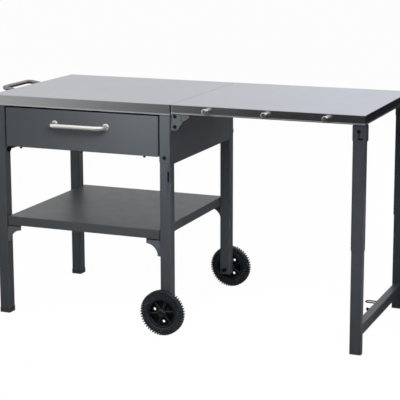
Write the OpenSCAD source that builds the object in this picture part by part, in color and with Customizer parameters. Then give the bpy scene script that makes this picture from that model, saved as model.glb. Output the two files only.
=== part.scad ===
// Grill cart: a fixed cabinet cart with a drop leaf on its right side.
// The origin is on the floor under the middle of the whole cart.
// X runs along the worktops to the leaf, Y from the drawer to the back, Z up.

/* [Worktops] */
// Height of both worktops above the floor
top_height = 900; // [860:5:960]
// Length of the fixed worktop
main_length = 776; // [720:2:860]
// Length of the drop leaf
leaf_length = 756; // [720:2:800]
// Depth of both worktops, front to back
depth = 688; // [620:2:760]
// Height of the folded apron of the fixed worktop
main_apron = 42; // [38:1:50]
// Height of the folded apron of the leaf
leaf_apron = 36; // [32:1:40]
// Thickness of the folded sheet
sheet = 1.2; // [1:0.1:2]
// Outside radius of the folds
bend_radius = 3; // [2.5:0.25:5]
// Width of the return lip inside the aprons
lip_width = 9; // [7:0.5:10]
// Height of the rolled hem along the aprons
hem_height = 5; // [4:0.5:7]
// Distance that the rolled hem stands proud
hem_proud = 0.8; // [0.5:0.1:1]
// Gap between the two worktops
joint_gap = 2.5; // [2.2:0.1:4]
// Drop of the hat-section braces under the sheet
brace_drop = 18; // [12:1:20]
// Width of the crown of the braces
brace_width = 40; // [30:1:60]
// Distance of each brace from the middle of the depth
brace_offset = 150; // [110:5:190]

/* [Cart legs] */
// Side of the square leg tubes
leg_size = 44; // [40:1:48]
// Wall of the leg tubes
leg_wall = 1.5; // [1.2:0.1:2.5]
// Corner radius of the leg tubes
leg_corner = 4; // [3:0.5:6]
// Inset of the left legs from the end of the worktop
left_leg_inset = 10; // [4:0.5:14]
// Inset of the right legs from the end of the worktop
right_leg_inset = 4; // [3:0.5:8]
// Inset of the legs from the front and back of the worktop
leg_inset = 3.5; // [3:0.1:5]
// Height of the plastic foot caps
foot_height = 20; // [14:1:30]
// Thickness of the foot caps under the leg
foot_base = 4; // [3:0.5:6]
// Wall of the foot caps around the leg
foot_wall = 1.5; // [1:0.25:1.75]

/* [Shelf] */
// Height of the shelf surface above the floor
shelf_height = 406; // [360:2:440]
// Height of the shelf flange
shelf_flange = 36.5; // [30:0.5:44]
// Inset of the shelf from the front and back of the worktop
shelf_inset = 7; // [5:0.5:10]
// Gap between each end of the shelf and the legs
shelf_end_gap = 3; // [1:0.5:5]
// Reach of a corner gusset along the shelf
gusset_reach = 60; // [50:1:80]
// Drop of a corner gusset along the leg
gusset_drop = 68; // [55:1:85]
// Width of the flange of a gusset on the leg
gusset_tab = 22; // [16:1:26]
// Thickness of the gussets
gusset_sheet = 2.5; // [2:0.25:3]

/* [Cabinet and drawer] */
// Drop of the cabinet panels below the drawer front
panel_drop = 29; // [24:1:40]
// Width of the flanges of the cabinet panels
panel_flange = 15; // [10:1:20]
// Gap between the apron and the drawer front
drawer_top_gap = 8; // [5:0.5:12]
// Height of the drawer front
drawer_front_height = 157; // [140:1:165]
// Gap on each side of the drawer front
drawer_side_gap = 6; // [2:0.25:8]
// Thickness of the drawer front pan
drawer_front_depth = 18; // [14:1:20]
// Setback of the drawer front from the edge of the worktop
drawer_setback = 5; // [4:0.5:8]
// Depth of the drawer box, front to back
drawer_box_depth = 600; // [520:5:600]
// Height of the drawer box
drawer_box_height = 118; // [90:1:125]
// Height of the drawer box above the lower edge of the drawer front
drawer_box_lift = 12; // [8:1:20]
// Height of the drawer runners
runner_height = 45; // [35:1:50]
// Width taken by the runners on each side
runner_width = 12.6; // [11:0.1:14]
// Running clearance between the runners
runner_gap = 0.3; // [0.2:0.05:0.5]

/* [Handles] */
// Diameter of the handle tube
handle_tube = 18; // [14:0.5:20]
// Diameter of the rosettes
rosette_size = 28; // [24:0.5:32]
// Thickness of the rosettes
rosette_depth = 4; // [3:0.5:6]
// Radius of the handle bends at the middle of the tube
handle_bend = 22; // [18:1:26]
// Distance between the ends of the drawer handle
drawer_handle_span = 222; // [150:2:260]
// Reach of the drawer handle
drawer_handle_reach = 45; // [40:1:55]
// Height of the drawer handle above the lower edge of the front
drawer_handle_lift = 102; // [70:1:125]
// Distance between the ends of the push handle
push_handle_span = 222; // [180:2:320]
// Reach of the push handle
push_handle_reach = 84; // [60:1:110]
// Drop of the ends of the push handle below the worktop
push_handle_drop = 19; // [18:0.5:22]
// Upward slant of the push handle, in degrees
push_handle_slant = 8; // [0:1:12]

/* [Wheels] */
// Diameter over the tread
wheel_size = 178; // [160:1:190]
// Width of the tyre
tyre_width = 28; // [24:1:34]
// Diameter of the rim inside the tyre
rim_size = 116; // [104:1:124]
// Diameter of the opening of the rim
rim_opening = 102; // [92:1:108]
// Diameter of the hub
hub_size = 34; // [30:1:40]
// Length of the hub
hub_length = 30; // [28:1:36]
// Number of spokes
spoke_count = 6; // [4:1:8]
// Angle of the first spoke
first_spoke = 10; // [0:1:60]
// Angle by which the rear wheel stands turned on from the front wheel
rear_wheel_turn = 18; // [0:1:60]
// Number of tread lugs
lug_count = 50; // [30:2:60]
// Height of the tread lugs
lug_height = 3; // [2:0.25:4]
// Diameter of the axle bolts
axle_size = 12; // [10:0.5:14]
// Running clearance of the wheel on its axle, on the radius
axle_gap = 0.08; // [0.03:0.01:0.1]
// Length of the spacer between leg and wheel
spacer_length = 16; // [12:1:24]
// Height of the axle above the lower end of its leg
axle_above_leg_end = 18; // [15:1:24]

/* [Leaf hinge] */
// Distance of the leaf pivot from the end of the fixed worktop
pivot_out = 16; // [15:0.5:20]
// Drop of the leaf pivot below the worktop
pivot_drop = 86; // [82:1:94]
// Diameter of the leaf pivot pins
pivot_size = 8; // [6:0.5:10]
// Running clearance of the pivots, on the radius
pivot_gap = 0.08; // [0.03:0.01:0.1]
// Thickness of the hinge plates
hinge_plate = 3; // [2.5:0.25:4]
// Radius of the ears round the pivot
ear_radius = 14; // [12:0.5:15]
// Side gap between the hinge plates
hinge_side_gap = 0.5; // [0.3:0.1:1]

/* [Leaf legs] */
// Width of the sleeve tubes, along the cart
sleeve_width = 48; // [42:1:52]
// Depth of the sleeve tubes, front to back
sleeve_depth = 28; // [24:1:32]
// Wall of the sleeve tubes
sleeve_wall = 1.5; // [1.2:0.1:2]
// Inset of the sleeves from the end of the leaf
sleeve_end_inset = 2.5; // [2.5:0.5:14]
// Inset of the sleeves from the front and back of the leaf
sleeve_side_inset = 13; // [12.5:0.5:18]
// Height of the lower end of the sleeves
sleeve_bottom = 395; // [370:1:420]
// Sliding clearance of the inner tubes, on each side
slide_gap = 0.3; // [0.2:0.05:0.5]
// Wall of the inner tubes
tube_wall = 1.5; // [1.2:0.1:2.4]
// Length of inner tube held in the sleeve when pulled out
tube_overlap = 75; // [60:1:110]
// Height of the top of the crossbar
crossbar_top = 113; // [100:1:130]
// Width of the crossbar, along the cart
crossbar_width = 32; // [26:1:36]
// Height of the crossbar
crossbar_height = 38; // [26:1:40]
// Diameter of the leg pivot pins
leg_pin_size = 10; // [8:0.5:12]
// Thickness of the leg bracket plates
bracket_plate = 2.5; // [2:0.25:3]

/* [Tool hooks] */
// Distance between the tool hooks
hook_pitch = 233; // [180:1:260]
// Diameter of the hook discs
hook_disc = 21; // [18:0.5:25]
// Diameter of the hook necks
hook_neck = 11; // [8:0.5:13]
// Reach of the hooks
hook_reach = 28; // [22:1:34]

/* [Hidden] */
$fn = 48;

// Colours
STEEL = "#bcc3ca";
CHARCOAL = "#43484d";
BLACK = "#1e2022";
SATIN = "#cfd1d3";

// Places along X
push_end_gap = handle_tube / 2 * sin(push_handle_slant);
push_tube_reach = push_handle_reach - push_end_gap;
handle_outside = push_end_gap + push_tube_reach * cos(push_handle_slant) + handle_tube / 2;
overall_length = handle_outside + main_length + joint_gap + leaf_length + hem_proud;
main_left = -overall_length / 2 + handle_outside;
main_right = main_left + main_length;
leaf_left = main_right + joint_gap;
leaf_right = leaf_left + leaf_length;
left_leg_x = main_left + left_leg_inset + leg_size / 2;
right_leg_x = main_right - right_leg_inset - leg_size / 2;
bay_left = left_leg_x + leg_size / 2;
bay_right = right_leg_x - leg_size / 2;
bay_middle = (bay_left + bay_right) / 2;
bay_width = bay_right - bay_left;
pivot_x = main_right + pivot_out;
sleeve_x = leaf_right - sleeve_end_inset - sleeve_width / 2;

// Places along Y, on the front half; the back half mirrors them
front = -depth / 2;
leg_y = front + leg_inset + leg_size / 2;
leg_back_face = leg_y + leg_size / 2;
drawer_face = front + drawer_setback;
sleeve_y = front + sleeve_side_inset + sleeve_depth / 2;
wheel_y = front + leg_inset - spacer_length - hub_length / 2;

// Places along Z
under_top = top_height - sheet;
leg_top = top_height - bend_radius;
brace_end_gap = bend_radius + 0.3;
main_apron_bottom = top_height - main_apron;
leaf_apron_bottom = top_height - leaf_apron;
drawer_top = main_apron_bottom - drawer_top_gap;
drawer_bottom = drawer_top - drawer_front_height;
cabinet_bottom = drawer_bottom - panel_drop;
handle_z = drawer_bottom + drawer_handle_lift;
push_z = top_height - push_handle_drop;
pivot_z = top_height - pivot_drop;
axle_z = wheel_size / 2;
right_leg_end = axle_z - axle_above_leg_end;
sleeve_top_gap = 2;
leg_pin_z = leaf_apron_bottom - sleeve_top_gap - sleeve_width / 2;
shelf_bottom = shelf_height - shelf_flange;
crossbar_z = crossbar_top - crossbar_height / 2;

// Play round the pins and bolts that sit fast in their plates, on the radius, and play along
// the pins and axles
fast_gap = 0.05;
side_play = 0.3;

// Bolt and nut sizes
bolt_head = 13;
bolt_head_height = 4.5;
bolt_shank = 6;
nut_size = 19;
nut_height = 9;

module mirrored_in_y() {
    children();
    mirror([0, 1, 0]) children();
}

// Flat outline of a rectangle with round corners
module rounded_rect(width, height, radius) {
    square([width - 2 * radius, height], center = true);
    square([width, height - 2 * radius], center = true);
    for (sx = [-1, 1], sy = [-1, 1])
        translate([sx * (width / 2 - radius), sy * (height / 2 - radius)]) circle(r = radius);
}

// Upright tube with round corners, standing on z = 0
module square_tube(width, deep, height, wall, radius) {
    inner_radius = max(radius - wall, 0.4);
    linear_extrude(height) difference() {
        rounded_rect(width, deep, radius);
        rounded_rect(width - 2 * wall, deep - 2 * wall, inner_radius);
    }
}

// Section of a folded pan: square below, with its two top corners round
module fold_section(width, height, radius) {
    translate([-width / 2, -height]) square([width, height - radius]);
    translate([-width / 2 + radius, -height]) square([width - 2 * radius, height]);
    for (side = [-1, 1])
        translate([side * (width / 2 - radius), -radius]) circle(r = radius);
}

// Solid block with folded edges all round its top, which lies on z = 0
module pan_block(length, width, height, radius) {
    intersection() {
        rotate([90, 0, 0]) translate([0, 0, -width])
            linear_extrude(2 * width) fold_section(length, height, radius);
        rotate([90, 0, 90]) translate([0, 0, -length])
            linear_extrude(2 * length) fold_section(width, height, radius);
    }
}

// Folded sheet pan that is open below
module pan(length, width, height, wall, radius) {
    difference() {
        pan_block(length, width, height, radius);
        translate([0, 0, -wall])
            pan_block(length - 2 * wall, width - 2 * wall, height, radius - wall);
    }
}

// Flat ring between two rectangles of the same middle
module rect_ring(length, width, margin_out, margin_in, height) {
    linear_extrude(height) difference() {
        square([length + 2 * margin_out, width + 2 * margin_out], center = true);
        square([length - 2 * margin_in, width - 2 * margin_in], center = true);
    }
}

// Worktop: pan with a rolled hem outside and a return lip inside its lower edge
module worktop(length, apron) {
    pan(length, depth, apron, sheet, bend_radius);
    translate([0, 0, -apron]) rect_ring(length, depth, hem_proud, sheet / 2, hem_height);
    translate([0, 0, -apron]) rect_ring(length, depth, 0, lip_width, sheet);
}

// Hat-section brace along X, with its flanges against z = 0
module hat_brace(length, crown, drop) {
    flange = 12;
    rotate([90, 0, 90]) translate([0, 0, -length / 2]) linear_extrude(length) {
        difference() {
            translate([-crown / 2, -drop]) square([crown, drop]);
            translate([-crown / 2 + sheet, -drop + sheet]) square([crown - 2 * sheet, drop]);
        }
        for (side = [-1, 1])
            translate([side * (crown / 2 + flange / 2 - sheet / 2), -sheet / 2])
                square([flange + sheet, sheet], center = true);
    }
}

// Bolt head with a low dome, its seat on z = 0 and its top up
module bolt_cap(size, height) {
    difference() {
        rotate_extrude() {
            square([size / 2, height - 1]);
            square([size / 2 - 1, height]);
        }
        translate([0, 0, height - 1.6]) cylinder(d = size * 0.45, h = 2, $fn = 6);
    }
}

// Round-ended tube handle in the XY plane, its two ends on y = 0, reaching to -Y
module bent_handle(span, reach) {
    bend = handle_bend;
    for (side = [-1, 1]) {
        translate([side * span / 2, 0, 0]) rotate([90, 0, 0])
            cylinder(d = handle_tube, h = reach - bend);
        translate([side * (span / 2 - bend), -(reach - bend), 0])
            rotate([0, 0, side > 0 ? -90 : 180])
            rotate_extrude(angle = 90) translate([bend, 0]) circle(d = handle_tube);
    }
    translate([-span / 2 + bend, -reach, 0]) rotate([0, 90, 0])
        cylinder(d = handle_tube, h = span - 2 * bend);
}

// Stepped collar round the end of a handle tube that slants, its seat on z = 0
module rosette(slant) {
    step = 1.5;
    bore = handle_tube / 2 / cos(slant) + rosette_depth * tan(slant);
    rotate_extrude() translate([bore, 0]) {
        square([rosette_size / 2 - bore, rosette_depth / 2]);
        square([rosette_size / 2 - bore - step, rosette_depth]);
    }
}

// Fixed worktop
module main_top() {
    color(STEEL) difference() {
        translate([(main_left + main_right) / 2, 0, top_height]) worktop(main_length, main_apron);
        for (x = [left_leg_x, right_leg_x]) mirrored_in_y()
            translate([x, leg_y, main_apron_bottom - 1]) leg_notch();
    }
}

// Space that the lip leaves for a leg
module leg_notch() {
    side = leg_size + 0.6;
    translate([-side / 2, -side / 2, 0]) cube([side, side, sheet + 2]);
}

module main_top_braces() {
    brace_length = main_length - 2 * brace_end_gap;
    color(STEEL) for (side = [-1, 1])
        translate([(main_left + main_right) / 2, side * brace_offset, under_top])
            hat_brace(brace_length, brace_width, brace_drop);
}

// Left leg, which stands on its foot cap
module left_leg() {
    translate([left_leg_x, leg_y, foot_base])
        square_tube(leg_size, leg_size, leg_top - foot_base, leg_wall, leg_corner);
}

// Right leg, cut short above the floor and bored for the axle, with a round boss at the cabinet
boss_height = 2.5;
boss_z = cabinet_bottom + leg_size * 0.64;

module right_leg(slotted) {
    slot_length = 38;
    slot_width = 7;
    slot_edge = 7;
    slot_low = cabinet_bottom - leg_size * 1.45;
    difference() {
        union() {
            translate([right_leg_x, leg_y, right_leg_end])
                square_tube(leg_size, leg_size, leg_top - right_leg_end, leg_wall, leg_corner);
            translate([right_leg_x, front + leg_inset + leg_wall / 2, boss_z]) rotate([90, 0, 0])
                cylinder(d = leg_size, h = boss_height + leg_wall / 2);
        }
        translate([right_leg_x, leg_back_face + 1, axle_z]) rotate([90, 0, 0])
            cylinder(d = axle_size + 2 * fast_gap, h = leg_size + 2);
        if (slotted)
            translate([right_leg_x + leg_size / 2 - slot_edge - slot_width / 2, front, slot_low])
                cube([slot_width, leg_inset + leg_wall + 1, slot_length]);
    }
}

module front_left_leg() { color(CHARCOAL) left_leg(); }
module rear_left_leg() { color(CHARCOAL) mirror([0, 1, 0]) left_leg(); }
module front_right_leg() { color(CHARCOAL) right_leg(true); }
module rear_right_leg() { color(CHARCOAL) mirror([0, 1, 0]) right_leg(false); }

// Cup-shaped cap under a left leg
module foot_cap() {
    outside = leg_size + 2 * foot_wall;
    difference() {
        linear_extrude(foot_height) rounded_rect(outside, outside, leg_corner + foot_wall);
        translate([0, 0, foot_base])
            linear_extrude(foot_height) rounded_rect(leg_size, leg_size, leg_corner);
    }
}

module foot_caps() {
    color(BLACK) mirrored_in_y() translate([left_leg_x, leg_y, 0]) foot_cap();
}

// Shelf pan between the legs, with a return lip under its flange
module lower_shelf() {
    shelf_depth = depth - 2 * shelf_inset;
    shelf_length = bay_width - 2 * shelf_end_gap;
    color(CHARCOAL) translate([bay_middle, 0, shelf_height]) {
        pan(shelf_length, shelf_depth, shelf_flange, sheet, bend_radius);
        translate([0, 0, -shelf_flange]) rect_ring(shelf_length, shelf_depth, 0, lip_width, sheet);
    }
}

module shelf_brace() {
    brace_length = bay_width - 2 * (shelf_end_gap + brace_end_gap);
    color(CHARCOAL) translate([bay_middle, 0, shelf_height - sheet])
        hat_brace(brace_length, brace_width, brace_drop);
}

// Arched gusset under the shelf flange, with flanges on the leg at x = 0 and under the shelf
module gusset() {
    plate_y = front + shelf_inset;
    land = 12;
    translate([0, plate_y, shelf_bottom]) {
        translate([0, gusset_sheet, 0]) rotate([90, 0, 0])
            linear_extrude(gusset_sheet) difference() {
                translate([0, -gusset_drop]) square([gusset_reach, gusset_drop]);
                translate([gusset_reach, -gusset_drop]) circle(r = gusset_reach - land);
            }
        translate([0, 0, -gusset_drop]) cube([gusset_sheet, gusset_tab, gusset_drop]);
        translate([0, 0, -gusset_sheet]) cube([gusset_reach, gusset_tab, gusset_sheet]);
    }
}

module at_bay_left() { translate([bay_left, 0, 0]) children(); }
module at_bay_right() { translate([bay_right, 0, 0]) mirror([1, 0, 0]) children(); }

module front_left_gusset() { color(CHARCOAL) at_bay_left() gusset(); }
module front_right_gusset() { color(CHARCOAL) at_bay_right() gusset(); }
module rear_left_gusset() { color(CHARCOAL) mirror([0, 1, 0]) at_bay_left() gusset(); }
module rear_right_gusset() { color(CHARCOAL) mirror([0, 1, 0]) at_bay_right() gusset(); }

// Bolts of one gusset: one into the leg, one up into the shelf
module bolts_of_gusset() {
    tab_middle = front + shelf_inset + (gusset_tab + gusset_sheet) / 2;
    leg_bolt_rise = gusset_drop * 0.2;
    shelf_bolt_out = gusset_reach * 0.55;
    translate([gusset_sheet, tab_middle, shelf_bottom - gusset_drop + leg_bolt_rise])
        rotate([0, 90, 0]) bolt_cap(bolt_head, bolt_head_height);
    translate([shelf_bolt_out, tab_middle, shelf_bottom - gusset_sheet])
        rotate([180, 0, 0]) bolt_cap(bolt_head, bolt_head_height);
}

module gusset_bolts() {
    color(BLACK) mirrored_in_y() {
        at_bay_left() bolts_of_gusset();
        at_bay_right() bolts_of_gusset();
    }
}

// Cabinet panel with its outer face on x = 0 and a flange along each of its four edges
module cabinet_panel(span) {
    height = main_apron_bottom - cabinet_bottom;
    translate([0, 0, cabinet_bottom]) {
        translate([-sheet, -span / 2, 0]) cube([sheet, span, height]);
        for (z = [0, height - sheet])
            translate([-panel_flange, -span / 2, z]) cube([panel_flange, span, sheet]);
        for (y = [-span / 2, span / 2 - sheet])
            translate([-panel_flange, y, 0]) cube([panel_flange, sheet, height]);
    }
}

module left_side_panel() {
    color(CHARCOAL) translate([left_leg_x - leg_size / 2, 0, 0]) mirror([1, 0, 0])
        cabinet_panel(-2 * leg_back_face);
}

module right_side_panel() {
    color(CHARCOAL) translate([right_leg_x + leg_size / 2, 0, 0])
        cabinet_panel(-2 * leg_back_face);
}

module back_panel() {
    color(CHARCOAL) translate([bay_middle, depth / 2 - leg_inset, 0]) rotate([0, 0, 90])
        cabinet_panel(bay_width);
}

// Drawer runners on the left; their section lies in XZ with the leg face at x = 0
runner_z = drawer_bottom + drawer_box_lift + drawer_box_height / 2;
runner_front = drawer_face + drawer_front_depth;

module cabinet_runner() {
    mouth = runner_width - 2;
    runner_length = leg_size / 2 - leg_back_face - runner_front - 2;
    translate([bay_left, runner_front + 2 + runner_length, runner_z]) rotate([90, 0, 0])
        linear_extrude(runner_length) difference() {
            translate([0, -runner_height / 2]) square([mouth, runner_height]);
            translate([sheet, -runner_height / 2 + sheet])
                square([mouth, runner_height - 2 * sheet]);
        }
}

module drawer_runner() {
    member_height = runner_height - 2 * (sheet + runner_gap);
    tip = sheet + 1.5;
    translate([bay_left, runner_front + drawer_box_depth, runner_z]) rotate([90, 0, 0])
        linear_extrude(drawer_box_depth) difference() {
            translate([tip, -member_height / 2]) square([runner_width - tip, member_height]);
            translate([tip - 1, -member_height / 2 + sheet])
                square([runner_width - sheet - tip + 1, member_height - 2 * sheet]);
        }
}

module on_right_of_bay() {
    translate([2 * bay_middle, 0, 0]) mirror([1, 0, 0]) children();
}

module left_cabinet_runner() { color(STEEL) cabinet_runner(); }
module right_cabinet_runner() { color(STEEL) on_right_of_bay() cabinet_runner(); }
module left_drawer_runner() { color(STEEL) drawer_runner(); }
module right_drawer_runner() { color(STEEL) on_right_of_bay() drawer_runner(); }

// Drawer front: a pan that faces forward, with a return lip behind
module drawer_front() {
    width = bay_width - 2 * drawer_side_gap;
    back_lip = 17;
    middle_z = drawer_bottom + drawer_front_height / 2;
    color(CHARCOAL) translate([bay_middle, drawer_face, middle_z]) rotate([90, 0, 0]) {
        pan(width, drawer_front_height, drawer_front_depth, sheet, bend_radius);
        translate([0, 0, -drawer_front_depth])
            rect_ring(width, drawer_front_height, 0, back_lip, sheet);
    }
}

// Drawer box: open above, with a rolled rim
module drawer_box() {
    width = bay_width - 2 * runner_width;
    rim = 4;
    color(STEEL) translate([bay_middle, runner_front + drawer_box_depth / 2,
                            drawer_bottom + drawer_box_lift]) {
        difference() {
            translate([-width / 2, -drawer_box_depth / 2, 0])
                cube([width, drawer_box_depth, drawer_box_height]);
            translate([-width / 2 + sheet, -drawer_box_depth / 2 + sheet, sheet])
                cube([width - 2 * sheet, drawer_box_depth - 2 * sheet, drawer_box_height]);
        }
        translate([0, 0, drawer_box_height - rim])
            rect_ring(width, drawer_box_depth, 0, 2 * sheet, rim);
    }
}

module drawer_handle() {
    color(SATIN) translate([bay_middle, drawer_face, handle_z])
        bent_handle(drawer_handle_span, drawer_handle_reach);
}

module drawer_handle_rosettes() {
    color(SATIN) for (side = [-1, 1])
        translate([bay_middle + side * drawer_handle_span / 2, drawer_face, handle_z])
            rotate([90, 0, 0]) rosette(0);
}

// Screws up through the lower edge of the drawer front
module drawer_front_screws() {
    screw_pitch = bay_width * 0.4;
    screw_head = 10;
    screw_drop = 7;
    color(BLACK) for (side = [-1, 0, 1])
        translate([bay_middle + side * screw_pitch, drawer_face + drawer_front_depth / 2, drawer_bottom])
            rotate([180, 0, 0]) bolt_cap(screw_head, screw_drop);
}

// Slanted handle, whose ends start clear of the apron inside their rosettes
module push_handle() {
    color(SATIN) translate([main_left - push_end_gap, 0, push_z]) rotate([0, push_handle_slant, 0])
        rotate([0, 0, -90]) bent_handle(push_handle_span, push_tube_reach);
}

module push_handle_rosettes() {
    color(SATIN) for (side = [-1, 1])
        translate([main_left, side * push_handle_span / 2, push_z])
            rotate([0, -90, 0]) rosette(push_handle_slant);
}

// Leaf hinge, front: two ears on the leg between the two plates of the leaf arm
hinge_y = leg_y;
ear_offset = 12.5;
arm_offset = ear_offset + hinge_plate + hinge_side_gap;
arm_outside = arm_offset + hinge_plate / 2;
arm_face = 2;
hinge_rise = leaf_apron_bottom - pivot_z;
leg_right_face = main_right - right_leg_inset;
ear_root = leg_right_face - pivot_x;

// Plate in XZ round the leaf pivot, its middle at the given distance from hinge_y
module hinge_plate_at(offset_y, thickness = hinge_plate) {
    translate([pivot_x, hinge_y + offset_y + thickness / 2, pivot_z]) rotate([90, 0, 0])
        linear_extrude(thickness) children();
}

module hinge_bracket() {
    base_below = 24;
    base_above = 34;
    base_width = 2 * ear_offset + hinge_plate;
    for (side = [-1, 1])
        hinge_plate_at(side * ear_offset) difference() {
            union() {
                circle(r = ear_radius);
                translate([ear_root, -ear_radius]) square([-ear_root, 2 * ear_radius]);
            }
            circle(d = pivot_size + 2 * fast_gap);
        }
    translate([leg_right_face, hinge_y - base_width / 2, pivot_z - base_below])
        cube([hinge_plate, base_width, base_below + base_above]);
}

module front_hinge_bracket() { color(CHARCOAL) hinge_bracket(); }
module rear_hinge_bracket() { color(CHARCOAL) mirror([0, 1, 0]) hinge_bracket(); }

module hinge_pins() {
    inner_seat = arm_outside + side_play;
    outer_seat = inner_seat + arm_face;
    head_size = pivot_size + 6;
    head_height = 4;
    color(BLACK) mirrored_in_y() translate([pivot_x, hinge_y, pivot_z]) {
        translate([0, inner_seat, 0]) rotate([90, 0, 0])
            cylinder(d = pivot_size, h = inner_seat + outer_seat);
        translate([0, -outer_seat, 0]) rotate([90, 0, 0]) bolt_cap(head_size, head_height);
        translate([0, inner_seat, 0]) rotate([-90, 0, 0]) bolt_cap(head_size, head_height);
    }
}

// Arm plates: a six-sided cheek round the pivot, narrower on the inner one so that the outer
// one hides it, and on the outer one a gusset under the leaf
lock_bolt_rise = 40;
arm_left = 13;
arm_right = 31;
arm_gusset = 58;
arm_below = 14;
inner_arm_cut = 11;

module arm_cheek(cut = 0) {
    shoulder = hinge_rise - 11;
    polygon([[-arm_left, hinge_rise], [arm_right / 2 - cut, hinge_rise], [arm_right - 7 - cut, shoulder],
             [arm_right - cut, 15], [8 - cut / 2, -arm_below], [-10, -arm_below],
             [-arm_left, -arm_below + 4]]);
}

module arm_gusset_plate() {
    polygon([[arm_right / 2 - 1, hinge_rise], [arm_gusset, hinge_rise],
             [arm_gusset, hinge_rise - 12], [arm_right + 1, 20], [arm_right - 4, 20]]);
}

module hinge_arm() {
    for (side = [-1, 1])
        hinge_plate_at(side * arm_offset) difference() {
            union() {
                arm_cheek(side < 0 ? 0 : inner_arm_cut);
                if (side < 0) arm_gusset_plate();
            }
            circle(d = pivot_size + 2 * pivot_gap);
            if (side < 0) translate([0, lock_bolt_rise]) circle(d = bolt_shank + 2 * fast_gap);
        }
    hinge_plate_at(-arm_outside - arm_face / 2, arm_face) difference() {
        arm_cheek();
        circle(d = pivot_size + 2 * pivot_gap);
        translate([0, lock_bolt_rise]) circle(d = bolt_shank + 2 * fast_gap);
    }
    translate([pivot_x - arm_left, hinge_y - arm_outside, leaf_apron_bottom - hinge_plate])
        cube([arm_left + arm_gusset, 2 * arm_outside, hinge_plate]);
}

module front_hinge_arm() { color(CHARCOAL) hinge_arm(); }
module rear_hinge_arm() { color(CHARCOAL) mirror([0, 1, 0]) hinge_arm(); }

// Bolt through the upper corner of each outer arm plate, with its nut behind
module hinge_arm_bolts() {
    small_nut = 11;
    small_nut_height = 4;
    grip = hinge_plate + arm_face;
    color(BLACK) mirrored_in_y()
        translate([pivot_x, hinge_y - arm_outside - arm_face, pivot_z + lock_bolt_rise]) {
            rotate([90, 0, 0]) bolt_cap(bolt_head, bolt_head_height);
            translate([0, grip, 0]) rotate([90, 0, 0]) cylinder(d = bolt_shank, h = grip);
            translate([0, grip + small_nut_height, 0]) rotate([90, 0, 0])
                cylinder(d = small_nut, h = small_nut_height, $fn = 6);
        }
}

// Front axle: nut inside the leg, shank through leg, spacer and hub, head under the hub cap
module axle_bolt() {
    head_size = axle_size + 8;
    head_height = 3.5;
    hub_outside = wheel_y - hub_length / 2;
    shank_end = leg_back_face + nut_height + 2;
    translate([right_leg_x, shank_end, axle_z]) rotate([90, 0, 0])
        cylinder(d = axle_size, h = shank_end - hub_outside + side_play);
    translate([right_leg_x, hub_outside - side_play, axle_z]) rotate([90, 0, 0])
        cylinder(d = head_size, h = head_height);
    translate([right_leg_x, leg_back_face, axle_z]) rotate([-90, 0, 0])
        cylinder(d = nut_size, h = nut_height, $fn = 6);
}

module front_axle_bolt() { color(BLACK) axle_bolt(); }
module rear_axle_bolt() { color(BLACK) mirror([0, 1, 0]) axle_bolt(); }

module axle_spacers() {
    spacer_size = axle_size + 10;
    spacer_bore = axle_size + 0.2;
    color(BLACK) mirrored_in_y()
        translate([right_leg_x, front + leg_inset, axle_z]) rotate([90, 0, 0]) difference() {
            cylinder(d = spacer_size, h = spacer_length - side_play);
            translate([0, 0, -1]) cylinder(d = spacer_bore, h = spacer_length + 2);
        }
}

// Bolts of the frame: one on each boss of the right legs, and nuts low inside the cabinet legs
module frame_bolts() {
    nut_width = 20;
    nut_depth = 8;
    nut_z = cabinet_bottom + nut_width / 2 + 2;
    nut_y = leg_y + max(0, panel_flange + nut_width / 2 + 1 - leg_size / 2);
    color(BLACK) mirrored_in_y() {
        translate([right_leg_x, front + leg_inset - boss_height, boss_z]) rotate([90, 0, 0])
            bolt_cap(bolt_head, bolt_head_height);
        translate([bay_left, nut_y, nut_z]) rotate([0, 90, 0]) bolt_cap(nut_width, nut_depth);
        translate([bay_right, nut_y, nut_z]) rotate([0, -90, 0]) bolt_cap(nut_width, nut_depth);
    }
}

// Wheels, built with the axle along Z and the outer face down, then laid along Y
module on_front_axle() { translate([right_leg_x, wheel_y, axle_z]) rotate([90, 0, 0]) children(); }
module on_rear_axle() { mirror([0, 1, 0]) on_front_axle() rotate([0, 0, rear_wheel_turn]) children(); }

module wheel_rim() {
    barrel = tyre_width - 3;
    wall = (rim_size - rim_opening) / 2;
    well = 3;
    bead = barrel * 0.22;
    spoke_thick = 11;
    spoke_root = 15;
    spoke_tip = 10;
    spoke_start = hub_size / 2 - 3;
    spoke_end = rim_opening / 2 + 1;
    web = 5;
    hole_circle = (rim_opening + hub_size) / 4;
    hole_size = (rim_opening - hub_size) * 0.16;
    difference() {
        union() {
            rotate_extrude($fn = 96) {
                translate([0, -hub_length / 2]) square([hub_size / 2, hub_length]);
                translate([rim_opening / 2, -barrel / 2]) square([wall - well, barrel]);
                for (z = [-barrel / 2, barrel / 2 - bead])
                    translate([rim_opening / 2, z]) square([wall, bead]);
                translate([0, -web / 2]) square([spoke_end, web]);
            }
            for (i = [0:spoke_count - 1]) rotate([0, 0, first_spoke + i * 360 / spoke_count])
                translate([0, 0, -spoke_thick / 2]) linear_extrude(spoke_thick)
                    polygon([[spoke_start, -spoke_root / 2], [spoke_end, -spoke_tip / 2],
                             [spoke_end, spoke_tip / 2], [spoke_start, spoke_root / 2]]);
        }
        translate([0, 0, -hub_length / 2 - 1])
            cylinder(d = axle_size + 2 * axle_gap, h = hub_length + 2);
        for (i = [0:2:spoke_count - 1]) rotate([0, 0, first_spoke + (i + 0.5) * 360 / spoke_count])
            translate([hole_circle, 0, -web]) cylinder(d = hole_size, h = 2 * web);
    }
}

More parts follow.
